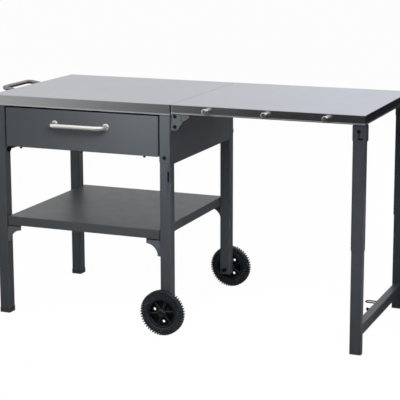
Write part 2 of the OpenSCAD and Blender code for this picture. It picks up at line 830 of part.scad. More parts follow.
// Tyre: round-shouldered band with a raised ring on each side, and lugs over its shoulders
module wheel_tyre() {
    carcass = wheel_size / 2 - lug_height;
    shoulder = 6;
    half = tyre_width / 2;
    lug_width = PI * wheel_size / lug_count * 0.52;
    lug_top = sqrt(pow(wheel_size / 2, 2) - pow(lug_width / 2, 2));
    lug_root = carcass - 9;
    ring_radius = rim_size / 2 + 12;
    rotate_extrude($fn = 96) {
        translate([rim_size / 2, -half]) square([carcass - shoulder - rim_size / 2, tyre_width]);
        translate([rim_size / 2, -half + shoulder])
            square([carcass - rim_size / 2, tyre_width - 2 * shoulder]);
        for (side = [-1, 1]) {
            translate([carcass - shoulder, side * (half - shoulder)]) circle(r = shoulder);
            translate([ring_radius, side * half]) circle(r = 1.4);
        }
    }
    for (i = [0:lug_count - 1]) rotate([0, 0, -90 + i * 360 / lug_count])
        translate([lug_root, -lug_width / 2, -half + 0.6])
            cube([lug_top - lug_root, lug_width, tyre_width - 1.2]);
}

// Domed cap over the outer end of the hub
module wheel_cap() {
    radius = hub_size / 2;
    rise = 6.5;
    translate([0, 0, hub_length / 2]) difference() {
        rotate_extrude() {
            square([radius, rise - 3]);
            square([radius - 3, rise]);
            translate([radius - 3, rise - 3]) intersection() {
                circle(r = 3);
                square(3);
            }
        }
        translate([0, 0, -1]) cylinder(r = radius - 4, h = rise - 1);
    }
}

module front_wheel_rim() { color(BLACK) on_front_axle() wheel_rim(); }
module front_wheel_tyre() { color(BLACK) on_front_axle() wheel_tyre(); }
module front_wheel_cap() { color(BLACK) on_front_axle() wheel_cap(); }
module rear_wheel_rim() { color(BLACK) on_rear_axle() wheel_rim(); }
module rear_wheel_tyre() { color(BLACK) on_rear_axle() wheel_tyre(); }
module rear_wheel_cap() { color(BLACK) on_rear_axle() wheel_cap(); }

module leaf_top() {
    color(STEEL) translate([(leaf_left + leaf_right) / 2, 0, top_height])
        worktop(leaf_length, leaf_apron);
}

module leaf_braces() {
    brace_length = leaf_length - 2 * brace_end_gap;
    color(STEEL) for (side = [-1, 1])
        translate([(leaf_left + leaf_right) / 2, side * brace_offset, under_top])
            hat_brace(brace_length, brace_width, brace_drop);
}

// Mushroom hook on the leaf's apron: a waisted neck with a dished disc
module tool_hook(index) {
    rim = 3;
    flare = 2.5;
    disc_z = hook_reach - rim;
    translate([(leaf_left + leaf_right) / 2 + index * hook_pitch, front, top_height - leaf_apron / 2])
        rotate([90, 0, 0]) rotate_extrude() {
            square([hook_neck / 2, hook_reach - 1]);
            square([hook_neck / 2 + flare, 2]);
            polygon([[0, disc_z - flare], [hook_neck / 2, disc_z - flare],
                     [hook_disc / 2 - rim / 2, disc_z], [0, disc_z]]);
            translate([0, disc_z]) square([hook_disc / 2 - rim / 2, rim - 0.5]);
            translate([hook_disc / 2 - rim / 2, disc_z + rim / 2]) circle(d = rim);
            square([hook_neck / 2, hook_reach]);
        }
}

module left_tool_hook() { color(SATIN) tool_hook(-1); }
module middle_tool_hook() { color(SATIN) tool_hook(0); }
module right_tool_hook() { color(SATIN) tool_hook(1); }

// Front leg bracket: two cheeks and a stop web round the head of the sleeve, with a neck up to the leaf
bracket_gap = 0.3;
cheek_inside = sleeve_depth / 2 + bracket_gap;
cheek_outside = cheek_inside + bracket_plate;
web_inside = sleeve_width / 2 + bracket_gap;

module leg_bracket() {
    cheek_top = leaf_apron_bottom - 1.5 - leg_pin_z;
    cheek_drop = 36;
    corner = 6;
    neck_left = 20;
    neck_right = 12;
    slot_width = 4;
    slot_low = -25;
    pocket_left = 4;
    pocket_width = 18;
    pocket_height = 7;
    right = web_inside + bracket_plate;
    left = web_inside;
    neck_top = under_top - leg_pin_z;
    translate([sleeve_x, sleeve_y, leg_pin_z]) {
        for (side = [-1, 1])
            translate([0, side * (cheek_inside + bracket_plate / 2) + bracket_plate / 2, 0])
                rotate([90, 0, 0]) linear_extrude(bracket_plate) difference() {
                    union() {
                        translate([(right - left) / 2, (cheek_top - cheek_drop) / 2])
                            rounded_rect(right + left, cheek_top + cheek_drop, corner);
                        translate([0, -cheek_drop]) square([right, 2 * corner]);
                        translate([-neck_left, 0]) square([neck_left + neck_right, neck_top]);
                    }
                    circle(d = leg_pin_size + 2 * fast_gap);
                    if (side < 0) {
                        translate([-slot_width / 2, slot_low]) square([slot_width, -slot_low]);
                        translate([-pocket_left, slot_low - pocket_height + 1])
                            square([pocket_width, pocket_height]);
                    }
                }
        translate([web_inside, -cheek_outside, -cheek_drop])
            cube([bracket_plate, 2 * cheek_outside, cheek_top + cheek_drop - corner]);
        translate([-neck_left, -cheek_outside, neck_top - bracket_plate])
            cube([neck_left + neck_right, 2 * cheek_outside, bracket_plate]);
    }
}

module front_leg_bracket() { color(CHARCOAL) leg_bracket(); }
module rear_leg_bracket() { color(CHARCOAL) mirror([0, 1, 0]) leg_bracket(); }

// Riveted pins through the brackets and the sleeves
module leg_pivot_pins() {
    rivet_head = 1.5;
    color(BLACK) mirrored_in_y() translate([sleeve_x, sleeve_y, leg_pin_z]) {
        rotate([90, 0, 0]) cylinder(d = leg_pin_size, h = 2 * cheek_outside, center = true);
        for (side = [-1, 1]) translate([0, side * (cheek_outside + rivet_head / 2), 0])
            rotate([90, 0, 0]) cylinder(d = leg_pin_size + 4, h = rivet_head, center = true);
    }
}

// Front sleeve: tube with a round head, bored for the pivot pin
module leg_sleeve() {
    head = sleeve_width / 2;
    difference() {
        intersection() {
            translate([sleeve_x, sleeve_y, sleeve_bottom])
                square_tube(sleeve_width, sleeve_depth, leg_pin_z + head - sleeve_bottom,
                            sleeve_wall, 3);
            translate([sleeve_x, sleeve_y + sleeve_depth, leg_pin_z]) rotate([90, 0, 0])
                linear_extrude(2 * sleeve_depth) {
                    circle(r = head, $fn = 96);
                    translate([-head, sleeve_bottom - leg_pin_z])
                        square([2 * head, leg_pin_z - sleeve_bottom]);
                }
        }
        translate([sleeve_x, sleeve_y + sleeve_depth, leg_pin_z]) rotate([90, 0, 0])
            cylinder(d = leg_pin_size + 2 * pivot_gap, h = 2 * sleeve_depth);
    }
}

module front_leg_sleeve() { color(CHARCOAL) leg_sleeve(); }
module rear_leg_sleeve() { color(CHARCOAL) mirror([0, 1, 0]) leg_sleeve(); }

// Bolt heads on the inner faces of the sleeves
module sleeve_bolts() {
    below_pin = 112;
    color(BLACK) mirrored_in_y()
        translate([sleeve_x, sleeve_y + sleeve_depth / 2, leg_pin_z - below_pin])
            rotate([-90, 0, 0]) bolt_cap(bolt_head - 1, bolt_head_height);
}

// Inner tubes that slide in the sleeves
tube_width = sleeve_width - 2 * (sleeve_wall + slide_gap);
tube_depth = sleeve_depth - 2 * (sleeve_wall + slide_gap);
tube_corner = 2;
tube_foot = 5;

module leg_tube() {
    translate([sleeve_x, sleeve_y, tube_foot])
        square_tube(tube_width, tube_depth, sleeve_bottom + tube_overlap - tube_foot,
                    tube_wall, tube_corner);
}

module front_leg_tube() { color(CHARCOAL) leg_tube(); }
module rear_leg_tube() { color(CHARCOAL) mirror([0, 1, 0]) leg_tube(); }

crossbar_x = sleeve_x + tube_width / 2 - crossbar_width / 2;
crossbar_length = -2 * (sleeve_y + tube_depth / 2);

module leg_crossbar() {
    color(CHARCOAL) translate([crossbar_x, crossbar_length / 2, crossbar_z]) rotate([90, 0, 0])
        square_tube(crossbar_width, crossbar_height, crossbar_length, tube_wall, tube_corner);
}

// Plastic plugs under the inner tubes
module leg_tube_feet() {
    plug = 16;
    plug_gap = 0.1;
    plug_side = tube_width - 2 * (tube_wall + plug_gap);
    plug_deep = tube_depth - 2 * (tube_wall + plug_gap);
    color(BLACK) mirrored_in_y() translate([sleeve_x, sleeve_y, 0]) {
        linear_extrude(tube_foot) rounded_rect(tube_width, tube_depth, tube_corner);
        linear_extrude(tube_foot + plug) rounded_rect(plug_side, plug_deep, 0.5);
    }
}

// Wire catch and its peg on the inner face of the crossbar; folded up, they clear the leaf
module crossbar_latch() {
    wire = 5;
    wire_gap = 24;
    arm_y = front + depth * 0.53;
    peg_y = front + depth * 0.385;
    inner_face = crossbar_x - crossbar_width / 2;
    fold_room = under_top - leg_pin_z - (sleeve_x - inner_face);
    straight = fold_room - wire / 2 - 3 - wire_gap / 2;
    wire_z = crossbar_z + crossbar_height / 4;
    peg_size = 14;
    peg_neck = 8;
    peg_length = 17;
    color(BLACK) {
        translate([inner_face, arm_y, wire_z]) {
            for (side = [-1, 1]) translate([0, side * wire_gap / 2, 0])
                rotate([0, -90, 0]) cylinder(d = wire, h = straight);
            translate([-straight, 0, 0]) rotate([0, 0, 90])
                rotate_extrude(angle = 180) translate([wire_gap / 2, 0]) circle(d = wire);
        }
        translate([inner_face, peg_y, wire_z]) rotate([0, -90, 0]) {
            cylinder(d = peg_size, h = 3);
            cylinder(d = peg_neck, h = peg_length);
            translate([0, 0, peg_length / 2]) cylinder(d1 = peg_neck, d2 = peg_size, h = 4);
            translate([0, 0, peg_length / 2 + 4]) cylinder(d1 = peg_size, d2 = peg_neck, h = 4);
        }
    }
}

main_top();
main_top_braces();
front_left_leg();
rear_left_leg();
front_right_leg();
rear_right_leg();
foot_caps();
lower_shelf();
shelf_brace();
front_left_gusset();
rear_left_gusset();
front_right_gusset();
rear_right_gusset();
gusset_bolts();
left_side_panel();
right_side_panel();
back_panel();
left_cabinet_runner();
right_cabinet_runner();
push_handle();
push_handle_rosettes();
front_hinge_bracket();
rear_hinge_bracket();
hinge_pins();
front_axle_bolt();
rear_axle_bolt();
axle_spacers();
frame_bolts();
drawer_front();
drawer_box();
drawer_handle();
drawer_handle_rosettes();
left_drawer_runner();
right_drawer_runner();
drawer_front_screws();
front_wheel_rim();
front_wheel_tyre();
front_wheel_cap();
rear_wheel_rim();
rear_wheel_tyre();
rear_wheel_cap();
leaf_top();
leaf_braces();
front_hinge_arm();
rear_hinge_arm();
hinge_arm_bolts();
left_tool_hook();
middle_tool_hook();
right_tool_hook();
front_leg_bracket();
rear_leg_bracket();
leg_pivot_pins();
front_leg_sleeve();
rear_leg_sleeve();
sleeve_bolts();
front_leg_tube();
rear_leg_tube();
leg_crossbar();
leg_tube_feet();
crossbar_latch();
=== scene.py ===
"""Looks of the grill cart: finishes for its metalwork, and detailed worktops, handles, hooks and wheels.

Everything is in metres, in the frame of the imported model: X runs along the worktops to the
drop leaf, Y from the drawer to the back, and Z up from the floor.
"""

import logging
import math
from collections.abc import Callable
from dataclasses import dataclass, replace
from enum import Enum

import bpy
import numpy as np
from mathutils import Matrix, Vector


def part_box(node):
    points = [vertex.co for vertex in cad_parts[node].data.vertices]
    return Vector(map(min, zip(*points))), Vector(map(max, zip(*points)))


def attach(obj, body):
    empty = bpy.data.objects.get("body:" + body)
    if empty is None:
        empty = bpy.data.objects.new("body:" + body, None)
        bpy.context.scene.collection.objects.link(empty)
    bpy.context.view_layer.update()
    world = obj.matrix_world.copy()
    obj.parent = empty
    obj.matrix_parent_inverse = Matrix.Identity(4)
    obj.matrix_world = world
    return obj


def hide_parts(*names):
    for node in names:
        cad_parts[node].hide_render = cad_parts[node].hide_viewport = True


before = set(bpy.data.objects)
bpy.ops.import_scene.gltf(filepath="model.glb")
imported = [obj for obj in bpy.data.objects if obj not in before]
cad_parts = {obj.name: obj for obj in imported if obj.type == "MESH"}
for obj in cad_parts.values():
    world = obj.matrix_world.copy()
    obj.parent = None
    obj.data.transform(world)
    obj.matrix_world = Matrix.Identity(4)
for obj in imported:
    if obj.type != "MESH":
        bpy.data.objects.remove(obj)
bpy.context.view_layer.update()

LOG = logging.getLogger("grill_cart")
MM = 0.001
TURN = 2 * math.pi


class Body(Enum):
    """The bodies that new pieces ride on."""

    CART = "cart"
    DRAWER = "drawer"
    FRONT_WHEEL = "front_wheel"
    REAR_WHEEL = "rear_wheel"
    LEAF = "leaf"


class Slot(Enum):
    """The record's material slots, which each new piece names; its material comes from its own Finish."""

    WORKTOP = "stainless_worktop"
    DRAWER_PAINT = "drawer_paint"
    CHARCOAL = "charcoal_paint"
    HANDLE = "satin_handle"
    HOOK = "polished_hook"
    RUBBER = "tyre_rubber"
    WHEEL = "wheel_plastic"
    HARDWARE = "black_hardware"


# Shader maths


def operator(operation: str, swapped: bool = False) -> "Callable[[Signal, Signal | float], Signal]":
    """The method behind an arithmetic operator, or behind its reflected form.

    Args:
        operation: the Math node's operation.
        swapped: whether the other value comes first.

    Returns:
        The method.
    """
    def apply(self: "Signal", other: "Signal | float") -> "Signal":
        """Adds the Math node."""
        return self.math(operation, *((other, self) if swapped else (self, other)))

    return apply


class Signal:
    """A node socket that takes the arithmetic operators, each of which adds a Math node."""

    def __init__(self, graph: "Graph", socket: bpy.types.NodeSocket) -> None:
        """Wraps one output socket of a graph's node."""
        self.graph = graph
        self.socket = socket

    def math(self, operation: str, *values: "Signal | float") -> "Signal":
        """Adds one Math node, whose inputs are numbers or signals, and returns its result."""
        node = self.graph.node("ShaderNodeMath", {"operation": operation}, dict(enumerate(values)))
        return Signal(self.graph, node.outputs[0])

    __add__, __radd__ = operator("ADD"), operator("ADD", swapped=True)
    __sub__, __rsub__ = operator("SUBTRACT"), operator("SUBTRACT", swapped=True)
    __mul__, __rmul__ = operator("MULTIPLY"), operator("MULTIPLY", swapped=True)

    def __abs__(self) -> "Signal":
        """The value without its sign."""
        return self.math("ABSOLUTE", self)

    def above(self, level: float) -> "Signal":
        """One where the value is above a level, and zero elsewhere."""
        return self.math("GREATER_THAN", self, level)

    def larger(self, other: "Signal | float") -> "Signal":
        """The larger of two values."""
        return self.math("MAXIMUM", self, other)

    def ramp(self, low: float, high: float, start: float = 0.0, end: float = 1.0) -> "Signal":
        """Eases from start to end while the value goes from low to high.

        Args:
            low: value where the ramp starts.
            high: value where the ramp ends.
            start: result up to low.
            end: result from high on.

        Returns:
            The eased value.
        """
        node = self.graph.node(
            "ShaderNodeMapRange",
            {"interpolation_type": "SMOOTHSTEP"},
            {"Value": self, "From Min": low, "From Max": high, "To Min": start, "To Max": end},
        )
        return Signal(self.graph, node.outputs[0])


class Graph:
    """Adds nodes to one node tree."""

    def __init__(self, tree: bpy.types.NodeTree) -> None:
        """Empties the tree."""
        self.tree = tree
        tree.nodes.clear()

    def node(self, kind: str, settings: dict | None = None, inputs: dict | None = None) -> bpy.types.Node:
        """Adds one node.

        Args:
            kind: the node's type.
            settings: its properties, which are set first.
            inputs: its sockets by name or index, each with a value, a Signal or a socket.

        Returns:
            The new node.
        """
        node = self.tree.nodes.new(kind)
        for key, value in (settings or {}).items():
            setattr(node, key, value)
        for key, value in (inputs or {}).items():
            source = value.socket if isinstance(value, Signal) else value
            if isinstance(source, bpy.types.NodeSocket):
                self.tree.links.new(source, node.inputs[key])
            else:
                node.inputs[key].default_value = source
        return node

    def signal(self, kind: str, settings: dict | None = None, inputs: dict | None = None,
               output: int | str = 0) -> Signal:
        """Adds one node, as node() does, and returns its output of the given name or index."""
        return Signal(self, self.node(kind, settings, inputs).outputs[output])

    def show(self, shader: bpy.types.Node, target: str = "Material") -> None:
        """Gives a shader to the output of the material or the world."""
        self.node(f"ShaderNodeOutput{target}", inputs={"Surface": shader.outputs[0]})

    def place(self) -> Signal:
        """The point in the cart's frame."""
        return self.signal("ShaderNodeTexCoord", output="Object")

    def axes(self, vector: Signal) -> tuple[Signal, Signal, Signal]:
        """The three coordinates of a vector."""
        node = self.node("ShaderNodeSeparateXYZ", inputs={0: vector})
        return tuple(Signal(self, socket) for socket in node.outputs)

    def point(self, x: Signal | float, y: Signal | float, z: Signal | float) -> Signal:
        """A vector of three values."""
        return self.signal("ShaderNodeCombineXYZ", inputs={0: x, 1: y, 2: z})

    def noise(self, where: Signal, scale: float, detail: float = 2.0) -> Signal:
        """Soft noise from 0 to 1: scale patches in a metre, and detail finer layers."""
        return self.signal("ShaderNodeTexNoise", inputs={"Vector": where, "Scale": scale, "Detail": detail})

    def blend(self, share: Signal | float, first: "Signal | tuple", second: "Signal | tuple") -> Signal:
        """Mixes two colours: the first at a share of 0, and the second at 1."""
        settings = {"data_type": "RGBA", "clamp_factor": True}
        return self.signal("ShaderNodeMix", settings, {0: share, 6: first, 7: second}, output=2)

    def bump(self, height: Signal, depth: float, strength: float = 1.0) -> Signal:
        """A normal that is tilted by a relief of 0 to 1, where 1 stands for a depth in metres."""
        inputs = {"Height": height, "Distance": depth, "Strength": strength}
        return self.signal("ShaderNodeBump", inputs=inputs)


def rgba(color: tuple[float, float, float], factor: float = 1.0) -> tuple[float, float, float, float]:
    """A linear colour with full opacity, scaled by a factor."""
    return tuple(channel * factor for channel in color) + (1.0,)


WHITE = rgba((1, 1, 1))
BLACK = rgba((0, 0, 0))


def put(name: str, data: bpy.types.ID) -> bpy.types.Object:
    """A new object with the given data, in the scene's collection.

    Args:
        name: the object's name.
        data: its mesh, lamp or camera.

    Returns:
        The object.
    """
    made = bpy.data.objects.new(name, data)
    bpy.context.scene.collection.objects.link(made)
    return made


def new_material(name: str) -> tuple[bpy.types.Material, Graph]:
    """A new material, and the graph that fills it.

    Args:
        name: the material's name.

    Returns:
        The material and its graph, which is empty.
    """
    made = bpy.data.materials.new(name)
    made.use_nodes = True
    return made, Graph(made.node_tree)


# Finishes


@dataclass(frozen=True)
class Finish:
    """A surface finish, made once as a material."""

    name: str
    color: tuple[float, float, float]
    roughness: float = 0.42
    spread: float = 0.1

    def rough(self, noise: Signal) -> Signal:
        """The roughness, which a noise from 0 to 1 spreads about its middle value."""
        return (noise - 0.5) * self.spread + self.roughness

    def shades(self, graph: Graph, share: Signal, first: float, second: float) -> Signal:
        """The colour, which goes between two shades of itself, given as factors."""
        return graph.blend(share, rgba(self.color, first), rgba(self.color, second))

    def inputs(self, graph: Graph, where: Signal) -> dict:
        """The shader's inputs.

        Args:
            graph: where nodes are added.
            where: the point in the cart's frame.

        Returns:
            Values and links by socket name.
        """
        raise NotImplementedError

    def material(self) -> bpy.types.Material:
        """The finish as a material, which every piece of it shares.

        Returns:
            The material.
        """
        made = bpy.data.materials.get(self.name)
        if made is None:
            made, graph = new_material(self.name)
            shader = graph.node("ShaderNodeBsdfPrincipled", inputs=self.inputs(graph, graph.place()))
            graph.show(shader)
        return made


@dataclass(frozen=True)
class PowderCoat(Finish):
    """Powder coat on steel: orange peel, mottling, painted shade that darkens it low down, and a painted
    shadow that turns it black above a height.
    """

    gloss: float = 0.35
    painted_shade_top: float = 0.9
    painted_low_shade: float = 0.25
    shadow_line: float = 0.0
    patches: float = 18.0
    mottling: float = 0.12
    darkest: float = 0.45
    peel: float = 900.0
    peel_depth: float = 0.05 * MM
    peel_strength: float = 0.35
    shadow_line_edge: tuple[float, float] = (6.0 * MM, 4.0 * MM)

    def inputs(self, graph: Graph, where: Signal) -> dict:
        """Colour that mottles and darkens towards the floor as painted shade, with a fine bump.

        Args:
            graph: where nodes are added.
            where: the point in the cart's frame.

        Returns:
            Values and links by socket name.
        """
        mottle = graph.noise(where, self.patches, 3.0)
        height = graph.axes(where)[2]
        # painted shade: darker from a height down to the floor, where less light falls; the mottle on top is
        # random tone
        shade = height.ramp(0.0, self.painted_shade_top, self.painted_low_shade, 0.0) + mottle * self.mottling
        color = self.shades(graph, shade, 1.0, self.darkest)
        # painted shadow: black above a height just under the shelf's flange, where the flange shades the
        # gusset
        if self.shadow_line > 0:
            low, high = (self.shadow_line - below for below in self.shadow_line_edge)
            color = graph.blend(height.ramp(low, high), color, BLACK)
        return {
            "Base Color": color,
            "Roughness": self.rough(mottle),
            "Specular IOR Level": self.gloss,
            "Normal": graph.bump(graph.noise(where, self.peel, 1.0), self.peel_depth, self.peel_strength),
        }


@dataclass(frozen=True)
class BrushedSteel(Finish):
    """Stainless sheet brushed along X: the streaks follow the sheet over its folds."""

    roughness: float = 0.29
    spread: float = 0.12
    edge: float = 0.8
    brushed: bool = True
    streak: float = 0.06
    metal: float = 1.0
    hem_top: float = 0.0
    hem_edge: float = 1.0 * MM
    painted_hem_highlight: float = 0.4
    fine: tuple[float, float] = (6.0, 1400.0)
    broad: tuple[float, float] = (1.5, 90.0)
    even: tuple[float, float] = (1600.0, 30.0)
    end_facing: float = 0.7
    wipes: float = 5.0
    streak_share: float = 0.55
    relief: float = 0.005 * MM
    relief_strength: float = 0.05

    def brushing(self, graph: Graph, where: Signal) -> tuple[Signal, Signal]:
        """Fine streaks and broad bands, both long along X where the sheet is brushed.

        Args:
            graph: where nodes are added.
            where: the point in the cart's frame.

        Returns:
            The streaks and the bands, from 0 to 1.
        """
        if not self.brushed:
            return tuple(graph.noise(where, scale) for scale in self.even)
        x, y, z = graph.axes(where)
        normal = graph.signal("ShaderNodeTexCoord", output="Normal")
        on_end = abs(graph.axes(normal)[0]).above(self.end_facing)
        across = y + z * (1.0 - on_end)
        along = x + z * on_end
        layers = ((self.fine, 0.0, 3.0), (self.broad, 0.5, 2.0))
        return tuple(graph.noise(graph.point(along * sparse, across * dense, level), 1.0, detail)
                     for (sparse, dense), level, detail in layers)

    def inputs(self, graph: Graph, where: Signal) -> dict:
        """Streaks in colour, roughness and bump, and a painted highlight along the hem, where the steel turns
        partly matt so that lamps light it.

        Args:
            graph: where nodes are added.
            where: the point in the cart's frame.

        Returns:
            Values and links by socket name.
        """
        streaks, bands = self.brushing(graph, where)
        wipe = graph.noise(where, self.wipes)
        share = streaks * self.streak_share + bands * (1.0 - self.streak_share)
        metallic = self.metal
        # painted highlight: the hem's band turns less metallic, so the lamps light it as a pale line
        if self.hem_top > 0:
            low = graph.axes(where)[2].ramp(self.hem_top - self.hem_edge, self.hem_top, 1.0, 0.0)
            metallic = self.metal - low * (bands + 0.5) * self.painted_hem_highlight
        return {
            "Base Color": self.shades(graph, share, 1.0 - self.streak, 1.0 + self.streak),
            "Metallic": metallic,
            "Roughness": self.rough((streaks + wipe) * 0.5),
            "Specular Tint": (self.edge, self.edge, self.edge * 1.02, 1.0),
            "Normal": graph.bump(streaks, self.relief, self.relief_strength),
        }


@dataclass(frozen=True)
class Galvanised(Finish):
    """Zinc-coated sheet: flat crystals of slightly different greys."""

    roughness: float = 0.41
    spread: float = 0.14
    crystals: float = 140.0
    metal: float = 0.7
    tones: tuple[float, float] = (0.85, 1.12)

    def inputs(self, graph: Graph, where: Signal) -> dict:
        """Colour and roughness that change from crystal to crystal.

        Args:
            graph: where nodes are added.
            where: the point in the cart's frame.

        Returns:
            Values and links by socket name.
        """
        cells = graph.signal("ShaderNodeTexVoronoi", inputs={"Vector": where, "Scale": self.crystals},
                             output="Color")
        tone = graph.axes(cells)[0]
        return {
            "Base Color": self.shades(graph, tone, *self.tones),
            "Metallic": self.metal,
            "Roughness": self.rough(tone),
        }


@dataclass(frozen=True)
class Moulded(Finish):
    """Moulded plastic or rubber: fine grain, faint dust, and painted shade in the wells about the wheels'
    planes.
    """

    spread: float = 0.16
    gloss: float = 0.4
    grain: float = 900.0
    relief: float = 0.05 * MM
    relief_strength: float = 0.5
    clouds: float = 35.0
    dust: float = 0.2
    dusty: float = 3.0
    well: float = 0.0
    painted_shade_edge: tuple[float, float] = (3.0 * MM, 5.5 * MM)
    painted_well_shade: float = 0.8

    def inputs(self, graph: Graph, where: Signal) -> dict:
        """Grain in the bump, a cloudy change of colour and roughness, and painted shade that darkens the
        wells.

        Args:
            graph: where nodes are added.
            where: the point in the cart's frame.

        Returns:
            Values and links by socket name.
        """
        grain = graph.noise(where, self.grain)
        cloud = graph.noise(where, self.clouds, 3.0)
        color = self.shades(graph, cloud * self.dust, 1.0, self.dusty)
        # painted shade: black blended in near each wheel's middle plane, in the wells between the spokes
        # where little light reaches
        if self.well > 0:
            off_plane = abs(abs(graph.axes(where)[1]) - self.well)
            color = graph.blend(off_plane.ramp(*self.painted_shade_edge, self.painted_well_shade, 0.0), color, BLACK)
        return {
            "Base Color": color,
            "Roughness": self.rough(cloud),
            "Specular IOR Level": self.gloss,
            "Normal": graph.bump(grain, self.relief, self.relief_strength),
        }


@dataclass(frozen=True)
class BlackOxide(Finish):
    """Blackened steel fasteners with rubbed patches."""

    roughness: float = 0.455
    spread: float = 0.15
    gloss: float = 0.12
    patches: float = 260.0
    rubbed: tuple[float, float] = (0.45, 0.8)
    bare: float = 2.4

    def inputs(self, graph: Graph, where: Signal) -> dict:
        """Patchy oxide over steel.

        Args:
            graph: where nodes are added.
            where: the point in the cart's frame.

        Returns:
            Values and links by socket name.
        """
        patches = graph.noise(where, self.patches, 3.0)
        return {
            "Base Color": self.shades(graph, patches.ramp(*self.rubbed), 1.0, self.bare),
            "Roughness": self.rough(patches),
            "Specular IOR Level": self.gloss,
        }


@dataclass(frozen=True)
class Finishes:
    """The cart's finishes."""

    worktop: Finish = BrushedSteel("brushed_stainless_sheet", (0.48, 0.50, 0.53))
    satin: Finish = BrushedSteel("satin_steel_tube", (0.72, 0.71, 0.685), 0.17, edge=0.9,
                                 brushed=False, metal=0.8)
    # the satin steel again, darker: painted shade for the push handle
    shaded: Finish = BrushedSteel("side_handle_steel_painted_shade", (0.22, 0.217, 0.21), 0.16, edge=0.9,
                                  brushed=False, metal=0.9)
    bright: Finish = BrushedSteel("polished_hook_steel", (0.9, 0.88, 0.84), 0.12, edge=0.95,
                                  brushed=False, streak=0.04, metal=0.95)
    # charcoal coats carry painted shade low down
    charcoal: Finish = PowderCoat("charcoal_powder_coat", (0.048, 0.054, 0.060))
    # the charcoal coat again, with stronger painted shade towards the floor, for the leaf's legs
    folding_painted_shade: Finish = PowderCoat("folding_leg_painted_shade_coat", (0.047, 0.053, 0.060), painted_low_shade=0.6)
    # gusset coat: a lighter charcoal with a painted shadow along its top, under the shelf's flange
    gusset: Finish = PowderCoat("gusset_powder_coat", (0.072, 0.081, 0.093), shadow_line=369.5 * MM)
    drawer: Finish = PowderCoat("drawer_powder_coat", (0.051, 0.057, 0.063), 0.4, painted_low_shade=0.0)
    zinc: Finish = Galvanised("galvanised_sheet", (0.46, 0.47, 0.48))
    rubber: Finish = Moulded("ribbed_rubber", (0.011, 0.014, 0.018), 0.45, relief=0.06 * MM)
    # the rim's plastic carries painted shade in its wells
    plastic: Finish = Moulded("moulded_rim_plastic", (0.0075, 0.0095, 0.0125), 0.28, gloss=0.6,
                              grain=1200.0, relief=0.03 * MM, dust=0.12, well=371.5 * MM)
    foot: Finish = Moulded("foot_plastic", (0.02, 0.021, 0.022), 0.5, relief=0.04 * MM)
    hardware: Finish = BlackOxide("blackened_fasteners", (0.004, 0.004, 0.0045))
    # matt black for the strip in the leg's slot and for the painted shadow in the bracket slots
    black_fill: Finish = Moulded("matt_black_fill", (0.003, 0.003, 0.0035), 0.6, gloss=0.08,
                            relief=0.03 * MM, dust=0.0)


FINISHES = Finishes()


def dress(nodes: tuple[str, ...], finish: Finish) -> None:
    """Gives CAD nodes a finish.

    Args:
        nodes: names of the nodes.
        finish: the finish.
    """
    for name in nodes:
        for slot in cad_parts[name].material_slots:
            slot.material = finish.material()
    LOG.info("dressed %s with %s", ", ".join(nodes), finish.name)


# Surfaces


@dataclass(frozen=True)
class Shell:
    """A closed surface: points, with faces of four and of three corners."""

    points: np.ndarray
    quads: np.ndarray
    triangles: np.ndarray

    @classmethod
    def from_grid(cls, grid: np.ndarray) -> "Shell":
        """Joins a grid of points into faces and welds the points that coincide.

        A seam repeats its first row or column exactly, and a pole repeats one point, so
        both close here. The faces are turned to point outwards by the sign of the volume.

        Args:
            grid: rows by columns by three coordinates.

        Returns:
            The closed surface.
        """
        rows, columns = grid.shape[:2]
        flat = grid.reshape(-1, 3)
        _, first, same = np.unique(np.round(flat * 1e7).astype(np.int64), axis=0,
                                   return_index=True, return_inverse=True)
        corner = np.arange(rows * columns).reshape(rows, columns)
        faces = np.stack([corner[:-1, :-1], corner[:-1, 1:], corner[1:, 1:], corner[1:, :-1]], -1)
        faces = same.reshape(-1)[faces.reshape(-1, 4)]
        ahead = np.roll(faces, -1, axis=1)
        merged = faces == ahead
        count = merged.sum(axis=1)
        quads = faces[count == 0]
        short = faces[count == 1]
        start = merged[count == 1].argmax(axis=1)
        order = (start[:, None] + np.array([1, 2, 3])) % 4
        triangles = np.take_along_axis(short, order, axis=1)
        return cls(flat[first], quads, triangles).outward()

    def outward(self) -> "Shell":
        """The shell with its faces pointing outwards.

        The volume is the sum over triangles of a . (b x c) / 6, negative if they point in.

        Returns:
            The shell, turned inside out where it has to be.
        """
        faces = np.concatenate([self.quads[:, [0, 1, 2]], self.quads[:, [0, 2, 3]], self.triangles])
        a, b, c = (self.points[corner] - self.points[0] for corner in faces.T)
        if np.einsum("ij,ij->i", a, np.cross(b, c)).sum() < 0:
            return Shell(self.points, self.quads[:, ::-1], self.triangles[:, ::-1])
        return self

    def placed(self, origin: tuple[float, float, float], basis: np.ndarray | None = None) -> "Shell":
        """The shell turned by a basis and moved to an origin.

        Args:
            origin: where its own origin goes.
            basis: rows are the directions of its own x, y and z.

        Returns:
            The placed shell.
        """
        turned = self.points if basis is None else self.points @ basis
        return Shell(turned + np.array(origin), self.quads, self.triangles).outward()


def basis(x: tuple, y: tuple, z: tuple) -> np.ndarray:
    """Three directions as the rows of a matrix."""
    return np.array([x, y, z], float)


FACING_FRONT = basis((1, 0, 0), (0, 0, 1), (0, -1, 0))
FACING_REAR_WHEEL = basis((1, 0, 0), (0, 0, 1), (0, 1, 0))
FACING_LEFT = basis((0, -1, 0), (0, 0, 1), (-1, 0, 0))


def spun(degrees: float) -> np.ndarray:
    """A basis that is turned about its z axis."""
    cos, sin = math.cos(math.radians(degrees)), math.sin(math.radians(degrees))
    return basis((cos, sin, 0), (-sin, cos, 0), (0, 0, 1))


